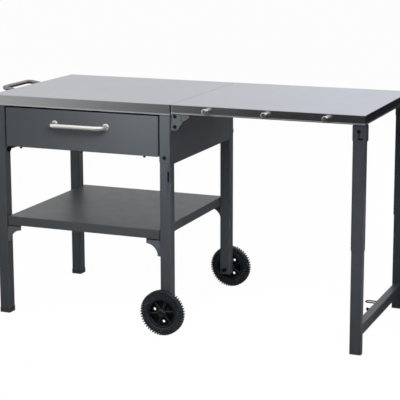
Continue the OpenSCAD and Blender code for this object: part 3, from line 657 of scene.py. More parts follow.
def fillet(corners: np.ndarray, radii: list[float], steps: int, support: float, closed: bool) -> np.ndarray:
    """A line through corners, each rounded by an arc that is tangent to both its sides.

    The arc's middle lies on the corner's bisector at radius / sin(half angle), and its ends
    lie radius / tan(half angle) from the corner. A support point follows each end of an
    arc, so that smooth shading stays flat between the arcs.

    Args:
        corners: the corners in order, two coordinates each.
        radii: radius at each corner, 0 for a sharp one.
        steps: parts of each arc.
        support: distance of the support points from the arcs.
        closed: whether the last corner joins the first.

    Returns:
        The points of the line.
    """
    parts = []
    total = len(corners)
    for i, radius in enumerate(radii):
        corner = corners[i]
        if radius == 0 or (not closed and i in (0, total - 1)):
            parts.append(corner[None])
            continue
        back = corners[i - 1] - corner
        ahead = corners[(i + 1) % total] - corner
        back = back / np.linalg.norm(back)
        ahead = ahead / np.linalg.norm(ahead)
        half = math.acos(float(np.clip(back @ ahead, -1, 1))) / 2
        reach = radius / math.tan(half)
        bisector = (back + ahead) / np.linalg.norm(back + ahead)
        centre = corner + bisector * radius / math.sin(half)
        start = corner + back * reach - centre
        end = corner + ahead * reach - centre
        share = np.linspace(0, 1, steps + 1)[:, None]
        sweep = math.pi - 2 * half
        arc = (np.sin((1 - share) * sweep) * start + np.sin(share * sweep) * end) / math.sin(sweep)
        parts.append((corner + back * (reach + support))[None])
        parts.append(centre + arc)
        parts.append((corner + ahead * (reach + support))[None])
    return np.concatenate(parts)


def revolve(profile: np.ndarray, segments: int = 48) -> Shell:
    """Turns a profile round the z axis: x = r cos t, y = r sin t, z = z.

    Args:
        profile: radius and height of each point, from pole to pole or as a closed loop.
        segments: parts of the full turn.

    Returns:
        The closed surface.
    """
    angle = np.linspace(0, TURN, segments + 1)
    angle[-1] = 0.0
    radius, height = profile[:, 0, None], profile[:, 1, None]
    grid = np.stack([radius * np.cos(angle), radius * np.sin(angle), height + 0 * angle], -1)
    return Shell.from_grid(grid)


def tube(path: np.ndarray, normal: tuple[float, float, float], radius: float, sides: int = 32) -> Shell:
    """A round tube along a flat path: point + radius (cos t side + sin t normal).

    The side is the path's direction crossed with the normal of its plane. Each end is a
    disc whose middle is a pole.

    Args:
        path: points of the path, three coordinates each.
        normal: normal of the path's plane.
        radius: radius of the tube.
        sides: parts of its girth.

    Returns:
        The closed surface.
    """
    along = np.gradient(path, axis=0)
    along /= np.linalg.norm(along, axis=1)[:, None]
    up = np.array(normal, float)
    side = np.cross(along, up)
    angle = np.linspace(0, TURN, sides + 1)
    angle[-1] = 0.0
    ring = np.cos(angle)[None, :, None] * side[:, None] + np.sin(angle)[None, :, None] * up
    grid = path[:, None] + radius * ring
    first = np.broadcast_to(path[0], (1, sides + 1, 3))
    last = np.broadcast_to(path[-1], (1, sides + 1, 3))
    return Shell.from_grid(np.concatenate([first, grid, last]))


def stacked(length: float, width: float, inset: np.ndarray, level: np.ndarray, corner: np.ndarray,
            steps: int, support: float) -> Shell:
    """Joins rectangles with round corners at different levels, closed by a flat slit at each end.

    Each corner's points are its arc of radius c about (l/2 - inset - c, w/2 - inset - c),
    with a support point at each end, and the four corners are turned into place.

    Args:
        length: length of the outermost rectangle, along x.
        width: its width, along y.
        inset: distance of each rectangle inside it.
        level: height of each rectangle.
        corner: corner radius of each rectangle.
        steps: parts of each corner's arc.
        support: distance of the support points from the arcs.

    Returns:
        The closed surface.
    """
    slit = min(length, width) / 2
    inset = np.concatenate([[slit], inset, [slit]])
    level = np.concatenate([level[:1], level, level[-1:]])
    corner = np.concatenate([[0.0], corner, [0.0]])
    angle = np.linspace(0, math.pi / 2, steps + 1)
    cos = np.concatenate([[1.0], np.cos(angle), [0.0]])
    sin = np.concatenate([[0.0], np.sin(angle), [1.0]])
    slide = np.zeros((steps + 3, 2))
    slide[0, 1] = slide[-1, 0] = -support
    local = corner[:, None, None] * np.stack([cos, sin], -1) + (corner > 0)[:, None, None] * slide
    half = np.array([length / 2, width / 2]) - inset[:, None] - corner[:, None]
    quarters = []
    for c, s in ((1, 0), (0, 1), (-1, 0), (0, -1)):
        turned = local @ np.array([[c, s], [-s, c]])
        quarters.append(turned + (half * np.array([c - s, s + c]))[:, None])
    ring = np.concatenate(quarters + [quarters[0][:, :1]], axis=1)
    tall = np.broadcast_to(level[:, None, None], ring.shape[:2] + (1,))
    return Shell.from_grid(np.concatenate([ring, tall], axis=2))


@dataclass(frozen=True)
class FoldedPan:
    """A sheet pan: a flat face with aprons folded down all round, open on its other side.

    Its face lies on z = 0 and its middle on the z axis. The section runs from the middle of
    the face over the fold, down the apron, round the hem and the return lip, and back up
    inside, and it is carried round a rectangle with round corners.
    """

    length: float
    width: float
    height: float
    lip: float
    sheet: float = 1.2 * MM
    fold: float = 3.0 * MM
    corner: float = 2.5 * MM
    hem: float = 0.0
    proud: float = 0.0

    def section(self) -> np.ndarray:
        """Inset and height of each point of the section, from face to underside.

        Returns:
            The points, two coordinates each.
        """
        inside = self.fold - self.sheet
        low = -self.height
        corners = [(4 * self.fold, 0), (0, 0), (0, low + self.hem)]
        radii = [0, self.fold, 0]
        if self.hem > 0:
            turn = np.linspace(math.pi / 2, -math.pi / 2, 11)[1:-1]
            bead = np.stack([-self.proud * np.cos(turn), low + self.hem / 2 * (1 + np.sin(turn))], -1)
            corners += [tuple(point) for point in bead]
            radii += [0] * len(bead)
        corners += [(0, low), (self.lip, low), (self.lip, low + self.sheet),
                    (self.sheet, low + self.sheet), (self.sheet, -self.sheet), (4 * self.fold, -self.sheet)]
        radii += [0, 0, 0, 0, inside, 0]
        return fillet(np.array(corners), radii, 6, 0.6 * MM, False)

    def shell(self) -> Shell:
        """The pan as one closed surface.

        Returns:
            The surface, its face up.
        """
        inset, height = self.section().T
        corner = np.maximum(self.corner - inset, 0.3 * MM)
        return stacked(self.length, self.width, inset, height, corner, 5, 0.8 * MM)


@dataclass(frozen=True)
class Piece:
    """A new piece of the cart: its name, the body it rides on and its finish."""

    name: str
    body: Body
    slot: Slot
    finish: Finish
    nodes: tuple[str, ...] = ()
    sharp: float = 40.0

    def make(self, shells: list[Shell]) -> bpy.types.Object:
        """Builds the piece's mesh from closed surfaces and puts it in place of its CAD nodes.

        Args:
            shells: the surfaces, in the cart's frame.

        Returns:
            The new object.
        """
        starts = np.cumsum([0] + [len(shell.points) for shell in shells])
        faces = []
        for start, shell in zip(starts, shells):
            faces += (shell.quads + start).tolist() + (shell.triangles + start).tolist()
        mesh = bpy.data.meshes.new(self.name)
        mesh.from_pydata(np.concatenate([shell.points for shell in shells]), [], faces)
        mesh.shade_smooth()
        mesh.set_sharp_from_angle(angle=math.radians(self.sharp))
        mesh.materials.append(self.finish.material())
        piece = put(self.name, mesh)
        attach(piece, self.body.value)
        if self.nodes:
            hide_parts(*self.nodes)
        LOG.info("made %s: %d faces on %s", self.name, len(faces), self.body.value)
        return piece


@dataclass(frozen=True)
class Bar:
    """An upright bar with round edges: its middle and its size."""

    middle: tuple[float, float, float]
    size: tuple[float, float, float]
    edge: float = 0.6 * MM

    def shell(self) -> Shell:
        """Outlines that step out over the lower edge, up the sides and in over the upper edge.

        Returns:
            The closed surface, in its place.
        """
        length, width, height = self.size
        turn = np.linspace(0, math.pi / 2, 4)
        inset = self.edge * (1 - np.sin(turn))
        rise = self.edge * (1 - np.cos(turn)) - height / 2
        inset = np.concatenate([inset, inset[::-1]])
        level = np.concatenate([rise, -rise[::-1]])
        corner = np.maximum(2 * self.edge - inset, 0.1 * MM)
        return stacked(length, width, inset, level, corner, 3, 0.0).placed(self.middle)


# Sub-assemblies


def middle(node: str) -> tuple[Vector, Vector]:
    """Middle and size of a CAD node's box."""
    low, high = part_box(node)
    return (low + high) / 2, high - low


@dataclass
class Worktops:
    """The fixed worktop and the drop leaf: brushed sheets with folded aprons and a rolled hem."""

    hem: float = 5.0 * MM
    proud: float = 0.8 * MM
    lip: float = 9.0 * MM
    braces: tuple[str, ...] = ("main_top_braces", "leaf_braces")

    def build(self, node: str, name: str, body: Body) -> None:
        """Makes one worktop in the box of its CAD node.

        Args:
            node: the CAD node.
            name: name of the new piece.
            body: the body it rides on.
        """
        centre, size = middle(node)
        pan = FoldedPan(size.x - 2 * self.proud, size.y - 2 * self.proud, size.z, self.lip,
                        hem=self.hem, proud=self.proud)
        top = (centre.x, centre.y, centre.z + size.z / 2)
        # each worktop's steel carries a painted highlight along its hem
        finish = replace(FINISHES.worktop, name=f"{name}_steel",
                         hem_top=round(top[2] - size.z + 0.5 * self.hem, 5))
        Piece(name, body, Slot.WORKTOP, finish, (node,)).make([pan.shell().placed(top)])

    def assemble(self) -> None:
        """Builds both worktops and dresses their braces."""
        self.build("main_top", "fixed_worktop", Body.CART)
        self.build("leaf_top", "leaf_worktop", Body.LEAF)
        dress(self.braces, FINISHES.zinc)


@dataclass
class Cabinet:
    """Legs, shelf, panels and brackets of the cart, and the fasteners that hold them."""

    lip: float = 9.0 * MM
    slot: tuple[float, float] = (600.2 * MM, 638.2 * MM)
    slot_inset: float = 7.5 * MM
    slot_depth: float = 2.5 * MM
    strip: tuple[float, float] = (8.0 * MM, 2.4 * MM)
    strip_inset: float = 0.2 * MM
    strip_extra: float = 1.0 * MM
    wire: float = 0.9 * MM
    wire_ends: tuple[float, float] = (42.0 * MM, 27.0 * MM)
    wire_lean: float = 1.5 * MM
    painted: tuple[str, ...] = (
        "front_left_leg", "rear_left_leg", "front_right_leg", "rear_right_leg", "shelf_brace",
        "left_side_panel", "right_side_panel", "back_panel", "front_hinge_bracket", "rear_hinge_bracket")
    gussets: tuple[str, ...] = (
        "front_left_gusset", "rear_left_gusset", "front_right_gusset", "rear_right_gusset")
    fasteners: tuple[str, ...] = (
        "gusset_bolts", "hinge_pins", "front_axle_bolt", "rear_axle_bolt", "axle_spacers", "frame_bolts")

    def assemble(self) -> None:
        """Builds the shelf and dresses the rest."""
        centre, size = middle("lower_shelf")
        pan = FoldedPan(size.x, size.y, size.z, self.lip).shell()
        top = (centre.x, centre.y, centre.z + size.z / 2)
        tray = Piece("shelf_tray", Body.CART, Slot.CHARCOAL, FINISHES.charcoal, ("lower_shelf",))
        tray.make([pan.placed(top)])
        self.slot_strip()
        dress(self.painted, FINISHES.charcoal)
        dress(self.gussets, FINISHES.gusset)
        dress(self.fasteners, FINISHES.hardware)
        dress(("foot_caps",), FINISHES.foot)
        dress(("left_cabinet_runner", "right_cabinet_runner"), FINISHES.zinc)

    def slot_strip(self) -> None:
        """Builds a black strip in the slot of the front right leg, with a thin black wire along the leg."""
        low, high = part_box("front_right_leg")
        low_z, high_z = self.slot
        face = low.y + self.slot_depth
        x = high.x - self.slot_inset
        strip = Bar((x, face + self.strip_inset, (low_z + high_z) / 2),
                    (*self.strip, high_z - low_z + self.strip_extra))
        below, above = self.wire_ends
        ends = np.array([(x - self.wire_lean, face, low_z - below), (x, face, high_z + above)])
        wire = tube(np.linspace(ends[0], ends[1], 3), (0, -1, 0), self.wire, 12)
        Piece("leg_slot_strip", Body.CART, Slot.HARDWARE, FINISHES.black_fill).make([strip.shell(), wire])


@dataclass
class Handle:
    """A bent tube handle and the collars at its two ends.

    The path is a flat U with round bends, which leans upwards by the slant, and each collar is
    a turned ring whose edge is rounded over.
    """

    tube_node: str
    collar_node: str
    name: str
    body: Body
    facing: np.ndarray
    slant: float = 0.0
    finish: Finish = FINISHES.satin
    tube: float = 18.0 * MM
    bend: float = 22.0 * MM
    play: float = 0.2 * MM
    collar: float = 28.0 * MM
    collar_depth: float = 4.0 * MM

    def assemble(self) -> None:
        """Builds the tube and the collars in the place of their CAD nodes."""
        across, up, out = self.facing
        lean = math.radians(self.slant)
        ahead = out * math.cos(lean) + up * math.sin(lean)
        normal = up * math.cos(lean) - out * math.sin(lean)
        centre, _ = middle(self.collar_node)
        low, high = (np.array(corner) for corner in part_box(self.collar_node))
        axis = int(np.argmax(np.abs(out)))
        seat = np.array(centre)
        seat[axis] = high[axis] if out[axis] < 0 else low[axis]
        low, high = (np.array(corner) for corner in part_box(self.tube_node))
        tip = low[axis] if out[axis] < 0 else high[axis]
        reach = (abs(tip - seat[axis]) - self.tube / 2) / math.cos(lean)
        span = float(abs((high - low) @ across)) - self.tube
        corners = np.array([(-span / 2, 0), (-span / 2, reach), (span / 2, reach), (span / 2, 0)])
        line = fillet(corners, [0, self.bend, self.bend, 0], 14, 1.0 * MM, False)
        path = seat + line[:, :1] * across + line[:, 1:] * ahead
        bar = tube(path, tuple(normal), self.tube / 2 - self.play)
        Piece(self.name, self.body, Slot.HANDLE, self.finish, (self.tube_node,)).make([bar])
        rings = [self.ring().placed(tuple(seat + end * across), self.facing) for end in (-span / 2, span / 2)]
        collars = Piece(self.name + "_collars", self.body, Slot.HANDLE, FINISHES.satin, (self.collar_node,))
        collars.make(rings)

    def ring(self) -> Shell:
        """One collar, its seat on z = 0: a flat ring, a rounded edge and a groove at the tube.

        Returns:
            The closed surface.
        """
        inner, outer, deep = self.tube / 2 - self.play, self.collar / 2, self.collar_depth
        corners = np.array([(inner, 0), (outer, 0), (outer, deep * 0.55), (outer - 2.2 * MM, deep),
                            (inner + 1.6 * MM, deep), (inner + 0.8 * MM, deep * 0.6), (inner, deep * 0.6)])
        radii = [0, 0, 0.8 * MM, 1.2 * MM, 0.6 * MM, 0, 0]
        profile = fillet(corners, radii, 4, 0.05 * MM, True)
        return revolve(np.concatenate([profile, profile[:1]]), 64)


@dataclass
class Drawer:
    """The drawer: its painted front, zinc box, runners and screws."""

    lip: float = 17.0 * MM

    def assemble(self) -> None:
        """Builds the front as a pan that faces forward, and dresses the rest."""
        centre, size = middle("drawer_front")
        pan = FoldedPan(size.x, size.z, size.y, self.lip, fold=2.5 * MM, corner=2.0 * MM).shell()
        face = (centre.x, centre.y - size.y / 2, centre.z)
        Piece("drawer_face", Body.DRAWER, Slot.DRAWER_PAINT, FINISHES.drawer, ("drawer_front",)).make(
            [pan.placed(face, FACING_FRONT)])
        dress(("drawer_box", "left_drawer_runner", "right_drawer_runner"), FINISHES.zinc)
        dress(("drawer_front_screws",), FINISHES.hardware)


@dataclass
class Wheel:
    """One wheel: a tyre with lugs, a moulded rim with round spokes, and a hub cap.

    It is built with its axle along z and its outer face up, and laid along the axle.
    """

    side: str
    body: Body
    facing: np.ndarray
    first_spoke: float
    size: float = 178.0 * MM
    width: float = 28.0 * MM
    rim: float = 116.0 * MM
    opening: float = 102.0 * MM
    hub: float = 34.0 * MM
    hub_length: float = 30.0 * MM
    bore: float = 12.16 * MM
    spokes: int = 6
    lugs: int = 50
    lug_height: float = 6.0 * MM
    lug_reach: float = 5.0 * MM
    lug_ramp: float = 3.0 * MM
    lug_wave: tuple[float, float] = (0.3, 2.6)
    sidewall_rib: float = 1.6 * MM
    sidewall_reach: float = 17.0 * MM
    sidewall_ramp: float = 2.0 * MM
    bead_rib: float = 1.1 * MM
    bead_place: float = 5.0 * MM
    bead_width: float = 1.3 * MM
    groove: float = 2.4 * MM
    square: float = 7.0
    spoke_width: tuple[float, float] = (15.0 * MM, 10.0 * MM)
    spoke_depth: tuple[float, float] = (13.0 * MM, 11.0 * MM)
    spoke_overlap: tuple[float, float] = (3.0 * MM, 1.0 * MM)
    spoke_power: float = 0.7
    web: float = 5.0 * MM
    web_overlap: tuple[float, float] = (1.0 * MM, 0.8 * MM)
    web_edge: float = 0.8 * MM
    hole_share: float = 0.08

    def tyre(self) -> Shell:
        """The tyre: r and z follow a squarish superellipse, and lugs lift it along its normal.

        The section is |r - middle| ^ 7 / a ^ 7 + |z| ^ 7 / b ^ 7 = 1, walked in equal steps. A
        lug lifts the tread and the shoulders by its height, times a steep wave of the angle. It
        goes on as a low rib down the sidewall, and stops at the groove round the middle. One more
        rib runs round the bead.

        Returns:
            The closed surface, its axle along z.
        """
        outer = self.size / 2 - self.lug_height
        inner = self.rim / 2
        a, b, middle_radius = (outer - inner) / 2, self.width / 2, (outer + inner) / 2
        turn = np.linspace(0, TURN, 6001)
        cos, sin = np.cos(turn), np.sin(turn)
        radius = middle_radius + a * np.sign(cos) * np.abs(cos) ** (2 / self.square)
        height = b * np.sign(sin) * np.abs(sin) ** (2 / self.square)
        walked = np.concatenate([[0], np.cumsum(np.hypot(np.diff(radius), np.diff(height)))])
        even = np.linspace(0, walked[-1], 101)
        radius, height = np.interp(even, walked, radius), np.interp(even, walked, height)
        radius[-1], height[-1] = radius[0], height[0]
        share = np.stack([(radius - middle_radius) / a, height / b], -1)
        out = np.sign(share) * np.abs(share) ** (self.square - 1) / np.array([a, b])
        out /= np.linalg.norm(out, axis=1)[:, None]
        side = np.abs(height) > b * 0.8
        rib = self.bead_rib * np.exp(-(((radius - inner - self.bead_place) / self.bead_width) ** 2)) * side
        over = radius - outer
        low_rib = self.sidewall_rib * np.clip((over + self.sidewall_reach) / self.sidewall_ramp, 0, 1)
        full = self.lug_height * np.clip((over + self.lug_reach) / self.lug_ramp, 0, 1)
        weight = np.maximum(low_rib, full) * (1 - np.exp(-((height / self.groove) ** 4)))
        angle = np.linspace(0, TURN, 12 * self.lugs + 1)
        level, steepness = self.lug_wave
        wave = np.clip(level + steepness * np.cos(self.lugs * angle), 0, 1)
        wave[-1] = wave[0]
        angle[-1] = 0.0
        lift = weight[:, None] * wave[None] + rib[:, None]
        r = radius[:, None] + lift * out[:, :1]
        z = height[:, None] + lift * out[:, 1:]
        return Shell.from_grid(np.stack([r * np.cos(angle), r * np.sin(angle), z + 0 * angle], -1))

    def spoke(self, degrees: float) -> Shell:
        """One spoke: superellipse sections whose width and depth narrow from hub to rim.

        Args:
            degrees: angle of the spoke about the axle.

        Returns:
            The closed surface.
        """
        share = np.linspace(0, 1, 13)[:, None]
        start, end = self.hub / 2 - self.spoke_overlap[0], self.opening / 2 + self.spoke_overlap[1]
        reach = start + share * (end - start)
        wide, narrow = self.spoke_width
        deep, shallow = self.spoke_depth
        half_width = (wide - (wide - narrow) * np.sin(share * math.pi / 2)) / 2
        half_depth = (deep - (deep - shallow) * share) / 2
        turn = np.linspace(0, TURN, 25)[None]
        y = half_width * np.sign(np.cos(turn)) * np.abs(np.cos(turn)) ** self.spoke_power
        z = half_depth * np.sign(np.sin(turn)) * np.abs(np.sin(turn)) ** self.spoke_power
        y[:, -1], z[:, -1] = y[:, 0], z[:, 0]
        grid = np.stack([reach + 0 * y, y, z], -1)
        poles = np.stack([reach[[0, -1]], [[0.0], [0.0]], [[0.0], [0.0]]], -1).repeat(25, axis=1)
        grid = np.concatenate([poles[:1], grid, poles[1:]])
        return Shell.from_grid(grid).placed((0, 0, 0), spun(degrees))

    def web_part(self, degrees: float, hole: float) -> Shell:
        """The web between two spokes, with or without a round hole in its middle.

        Each column is a ray from the hole's middle at an angle t. It runs from the hole's edge
        to the sector's edge on one face and back on the other, and the rays meet the sector
        where its radius or its angle reaches a limit.

        Args:
            degrees: angle of the sector's middle.
            hole: radius of the hole, 0 for none.

        Returns:
            The closed plate.
        """
        near, far = self.hub / 2 - self.web_overlap[0], self.opening / 2 + self.web_overlap[1]
        centre = (self.opening + self.hub) / 4
        angle = np.linspace(0, TURN, 73)
        angle[-1] = 0.0
        ray = np.stack([np.cos(angle), np.sin(angle)], -1)
        reach = np.linspace(hole, 2 * far, 1500)[:, None]
        x, y = centre + reach * ray[:, 0], reach * ray[:, 1]
        radius = np.hypot(x, y)
        inside = (radius < far) & (radius > near) & (np.abs(np.arctan2(y, x)) < math.pi / self.spokes)
        last = np.where(inside.all(axis=0), len(reach), inside.argmin(axis=0)) - 1
        edge = reach[last, 0]
        half, soft = self.web / 2, self.web_edge
        rows = [(0, -half), (edge, -half), (edge, half), (0, half)]
        if hole > 0:
            rows = [(hole, -half + soft), (hole + soft, -half), *rows[1:3],
                    (hole + soft, half), (hole, half - soft), (hole, -half + soft)]
        grid = [np.stack([centre + r * ray[:, 0], r * ray[:, 1], z + 0 * angle], -1) for r, z in rows]
        return Shell.from_grid(np.stack(grid)).placed((0, 0, 0), spun(degrees))

    def rim_shells(self) -> list[Shell]:
        """The rim: a barrel with lips, a hub that flares into the web, the web and the spokes.

        Returns:
            The closed surfaces, one inside the other where they join.
        """
        inner, outer, half = self.opening / 2, self.rim / 2, self.width / 2 - 1.0 * MM
        well = outer - 3.0 * MM
        barrel = np.array([(inner, -half), (outer, -half), (outer, -half * 0.6), (well, -half * 0.5),
                           (well, half * 0.5), (outer, half * 0.6), (outer, half), (inner, half),
                           (inner - 1.5 * MM, 0)])
        radii = [radius * MM for radius in (1.2, 1.2, 0.5, 0.5, 0.5, 0.5, 1.2, 1.2, 3)]
        loop = fillet(barrel, radii, 4, 0.1 * MM, True)
        end, radius, flare = self.hub_length / 2, self.hub / 2, self.hub / 2 + 3.5 * MM
        hub = np.array([(self.bore / 2, -end), (radius, -end), (radius, -8 * MM), (flare, -2 * MM),
                        (flare, 2 * MM), (radius, 8 * MM), (radius, end), (self.bore / 2, end)])
        radii = [radius * MM for radius in (0, 1.5, 3, 1, 1, 3, 1.5, 0)]
        hub_loop = fillet(hub, radii, 4, 0.1 * MM, True)
        shells = [revolve(np.concatenate([line, line[:1]]), 96) for line in (loop, hub_loop)]
        step = 360 / self.spokes
        for i in range(self.spokes):
            hole = (self.opening - self.hub) * self.hole_share * (1 - i % 2)
            shells.append(self.spoke(self.first_spoke + i * step))
            shells.append(self.web_part(self.first_spoke + (i + 0.5) * step, hole))
        return shells

    def cap(self) -> Shell:
        """The hub cap: a low dome with a rolled edge and a dimple, open below for the bolt head.

        Returns:
            The closed surface.
        """
        edge = self.hub / 2 / MM
        corners = np.array([(0, 5.4), (4.0, 5.4), (5.5, 6.5), (edge - 2.5, 5.6), (edge, 2.8),
                            (edge, 0.0), (edge - 4, 0.0), (edge - 4, 4.4), (0, 4.4)]) * MM
        radii = [0, 0.8 * MM, 0.8 * MM, 2.5 * MM, 1.5 * MM, 0, 0, 0, 0]
        profile = fillet(corners, radii, 5, 0.1 * MM, False)
        return revolve(profile + np.array([0, self.hub_length / 2]), 64)

    def assemble(self) -> None:
        """Builds tyre, rim and cap at the wheel's axle."""
        centre, _ = middle(f"{self.side}_wheel_tyre")
        at = tuple(centre)
        places = {"tyre": ([self.tyre()], Slot.RUBBER, FINISHES.rubber),
                  "rim": (self.rim_shells(), Slot.WHEEL, FINISHES.plastic),
                  "cap": ([self.cap()], Slot.WHEEL, FINISHES.plastic)}
        for part, (shells, slot, finish) in places.items():
            node = f"{self.side}_wheel_{part}"
            Piece(f"{self.side}_{part}", self.body, slot, finish, (node,)).make(
                [shell.placed(at, self.facing) for shell in shells])


@dataclass
class Leaf:
    """What the drop leaf carries: hinge arms, tool hooks and leg brackets."""

    neck: float = 11.0 * MM
    disc: float = 21.0 * MM
    pin: tuple[float, float] = (786.45 * MM, 838.0 * MM)
    slot_shadow_inset: float = 1.3 * MM
    slot_shadow_edge: float = 0.3 * MM
    slot: tuple[float, float, float] = (4.0 * MM, 2.0 * MM, 20.0 * MM)
    slot_drop: float = 15.0 * MM
    pocket: tuple[float, float, float] = (18.0 * MM, 2.0 * MM, 7.0 * MM)
    pocket_drop: float = 27.5 * MM
    pocket_shift: float = 5.0 * MM

    def hook(self, reach: float) -> Shell:
        """A turned hook: a flared foot, a neck and a flat head with a well rounded edge.

        Args:
            reach: height of the head's face over the seat.

        Returns:
            The closed surface, its foot on z = 0.
        """
        neck, disc = self.neck / 2, self.disc / 2
        corners = np.array([(0, 0), (neck + 2.5 * MM, 0), (neck + 2.2 * MM, 1.6 * MM), (neck, 5 * MM),
                            (neck, reach - 10 * MM), (disc, reach - 4.5 * MM), (disc, reach - 0.4 * MM),
                            (disc - 3 * MM, reach), (0, reach)])
        radii = [0, 0.5 * MM, 1 * MM, 3 * MM, 5 * MM, 1.5 * MM, 2.2 * MM, 2.5 * MM, 0]
        return revolve(fillet(corners, radii, 6, 0.05 * MM, False), 64)

    def assemble(self) -> None:
        """Builds the hooks and dresses the brackets."""
        for name in ("left", "middle", "right"):
            centre, size = middle(f"{name}_tool_hook")
            seat = (centre.x, centre.y + size.y / 2, centre.z)
            Piece(f"{name}_hook", Body.LEAF, Slot.HOOK, FINISHES.bright, (f"{name}_tool_hook",)).make(
                [self.hook(size.y).placed(seat, FACING_FRONT)])
        dress(("front_hinge_arm", "rear_hinge_arm", "front_leg_bracket", "rear_leg_bracket"),
              FINISHES.charcoal)
        dress(("hinge_arm_bolts", "leg_pivot_pins"), FINISHES.hardware)
        self.slot_shadows()

    def slot_shadows(self) -> None:
        """Fills the slot and the pocket of each leg bracket's outer cheek with matt black, as painted shadow
        where they lie in shade.
        """
        low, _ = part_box("front_leg_bracket")
        x, z = self.pin
        for side, name in ((-1, "front_bracket_slot_shadow"), (1, "rear_bracket_slot_shadow")):
            y = side * (abs(low.y) - self.slot_shadow_inset)
            # painted shadow: matt black bars in the slot and the pocket
            slot = Bar((x, y, z - self.slot_drop), self.slot, self.slot_shadow_edge)
            pocket = Bar((x + self.pocket_shift, y, z - self.pocket_drop), self.pocket, self.slot_shadow_edge)
            Piece(name, Body.LEAF, Slot.HARDWARE, FINISHES.black_fill).make([slot.shell(), pocket.shell()])


@dataclass
class LeafLegs:
    """The folding legs of the leaf: sleeves, sliding tubes, crossbar, feet and wire catch."""

    def assemble(self) -> None:
        """Dresses the legs."""
        dress(("front_leg_sleeve", "rear_leg_sleeve", "front_leg_tube", "rear_leg_tube", "leg_crossbar"),
              FINISHES.folding_painted_shade)
        dress(("sleeve_bolts", "crossbar_latch"), FINISHES.hardware)
        dress(("leg_tube_feet",), FINISHES.foot)


# Studio


@dataclass
class Camera:
    """The photograph's camera, as a focal length in pixels of a 400-pixel frame."""

    focal: float = 1354.07
    turn: float = 22.148
    tilt: float = 10.67
    roll: float = 0.113
    place: tuple[float, float, float] = (2.0636, -4.9835, 1.6385)
    shift_y: float = -0.1
    frame_width: int = 400

    def assemble(self) -> None:
        """Makes the scene's camera: it looks along (-sin turn cos tilt, cos turn cos tilt, -sin tilt)."""
        data = bpy.data.cameras.new("photo_camera")
        data.sensor_width = 36.0
        data.lens = self.focal / self.frame_width * data.sensor_width
        data.shift_y = self.shift_y
        data.clip_end = 200.0
        turn, tilt = math.radians(self.turn), math.radians(self.tilt)
        ahead = Vector((-math.sin(turn) * math.cos(tilt), math.cos(turn) * math.cos(tilt), -math.sin(tilt)))
        upright = ahead.to_track_quat("-Z", "Y").to_matrix()
        look = upright @ Matrix.Rotation(math.radians(-self.roll), 3, "Z")
        camera = put("photo_camera", data)
        camera.matrix_world = Matrix.Translation(self.place) @ look.to_4x4()
        bpy.context.scene.camera = camera


@dataclass(frozen=True)
class Softbox:
    """A square area lamp: where it stands, what it faces, its side, its power and its spread."""

    name: str
    place: tuple[float, float, float]
    target: tuple[float, float, float]
    side: float
    power: float
    spread: float = 180.0

    def assemble(self) -> None:
        """Makes the lamp, which neither the camera nor reflections see."""
        data = bpy.data.lights.new(self.name, "AREA")
        data.shape = "SQUARE"
        data.size = self.side
        data.energy = self.power
        data.spread = math.radians(self.spread)
        lamp = put(self.name, data)
        look = (Vector(self.target) - Vector(self.place)).to_track_quat("-Z", "Y")
        lamp.matrix_world = Matrix.Translation(self.place) @ look.to_matrix().to_4x4()
        lamp.visible_camera = lamp.visible_glossy = False


def stage_sheet(name: str, corners: tuple, material: bpy.types.Material) -> bpy.types.Object:
    """A flat sheet of the studio between four corners, which is no part of the cart.

    Args:
        name: name of the sheet.
        corners: its corners in order.
        material: what it is made of.

    Returns:
        The sheet.
    """
    mesh = bpy.data.meshes.new(name)
    mesh.from_pydata(corners, [], [(0, 1, 2, 3)])
    mesh.materials.append(material)
    sheet = put(name, mesh)
    return sheet


@dataclass(frozen=True)
class Flag:
    """A card that only reflections see, as studios use to shade metal: it fades along X."""

    name: str
    corners: tuple[tuple[float, float, float], ...]
    strength: float = 0.02
    end_strength: float = 0.02
    fade_from: float = 0.0
    fade_to: float = 1.0
    tint: tuple[float, float, float] = (1.0, 1.0, 1.0)
    end_tint: tuple[float, float, float] = (1.0, 1.0, 1.0)

    def assemble(self) -> None:
        """Makes the card between its corners, its strength and tint a ramp along X."""
        made, graph = new_material(self.name)
        along = graph.axes(graph.place())[0]
        strength = along.ramp(self.fade_from, self.fade_to, self.strength, self.end_strength)
        tone = graph.blend(along.ramp(self.fade_from, self.fade_to), rgba(self.tint), rgba(self.end_tint))
        graph.show(graph.node("ShaderNodeEmission", inputs={"Color": tone, "Strength": strength}))
        card = stage_sheet(self.name, self.corners, made)
        card.visible_camera = card.visible_diffuse = card.visible_shadow = False


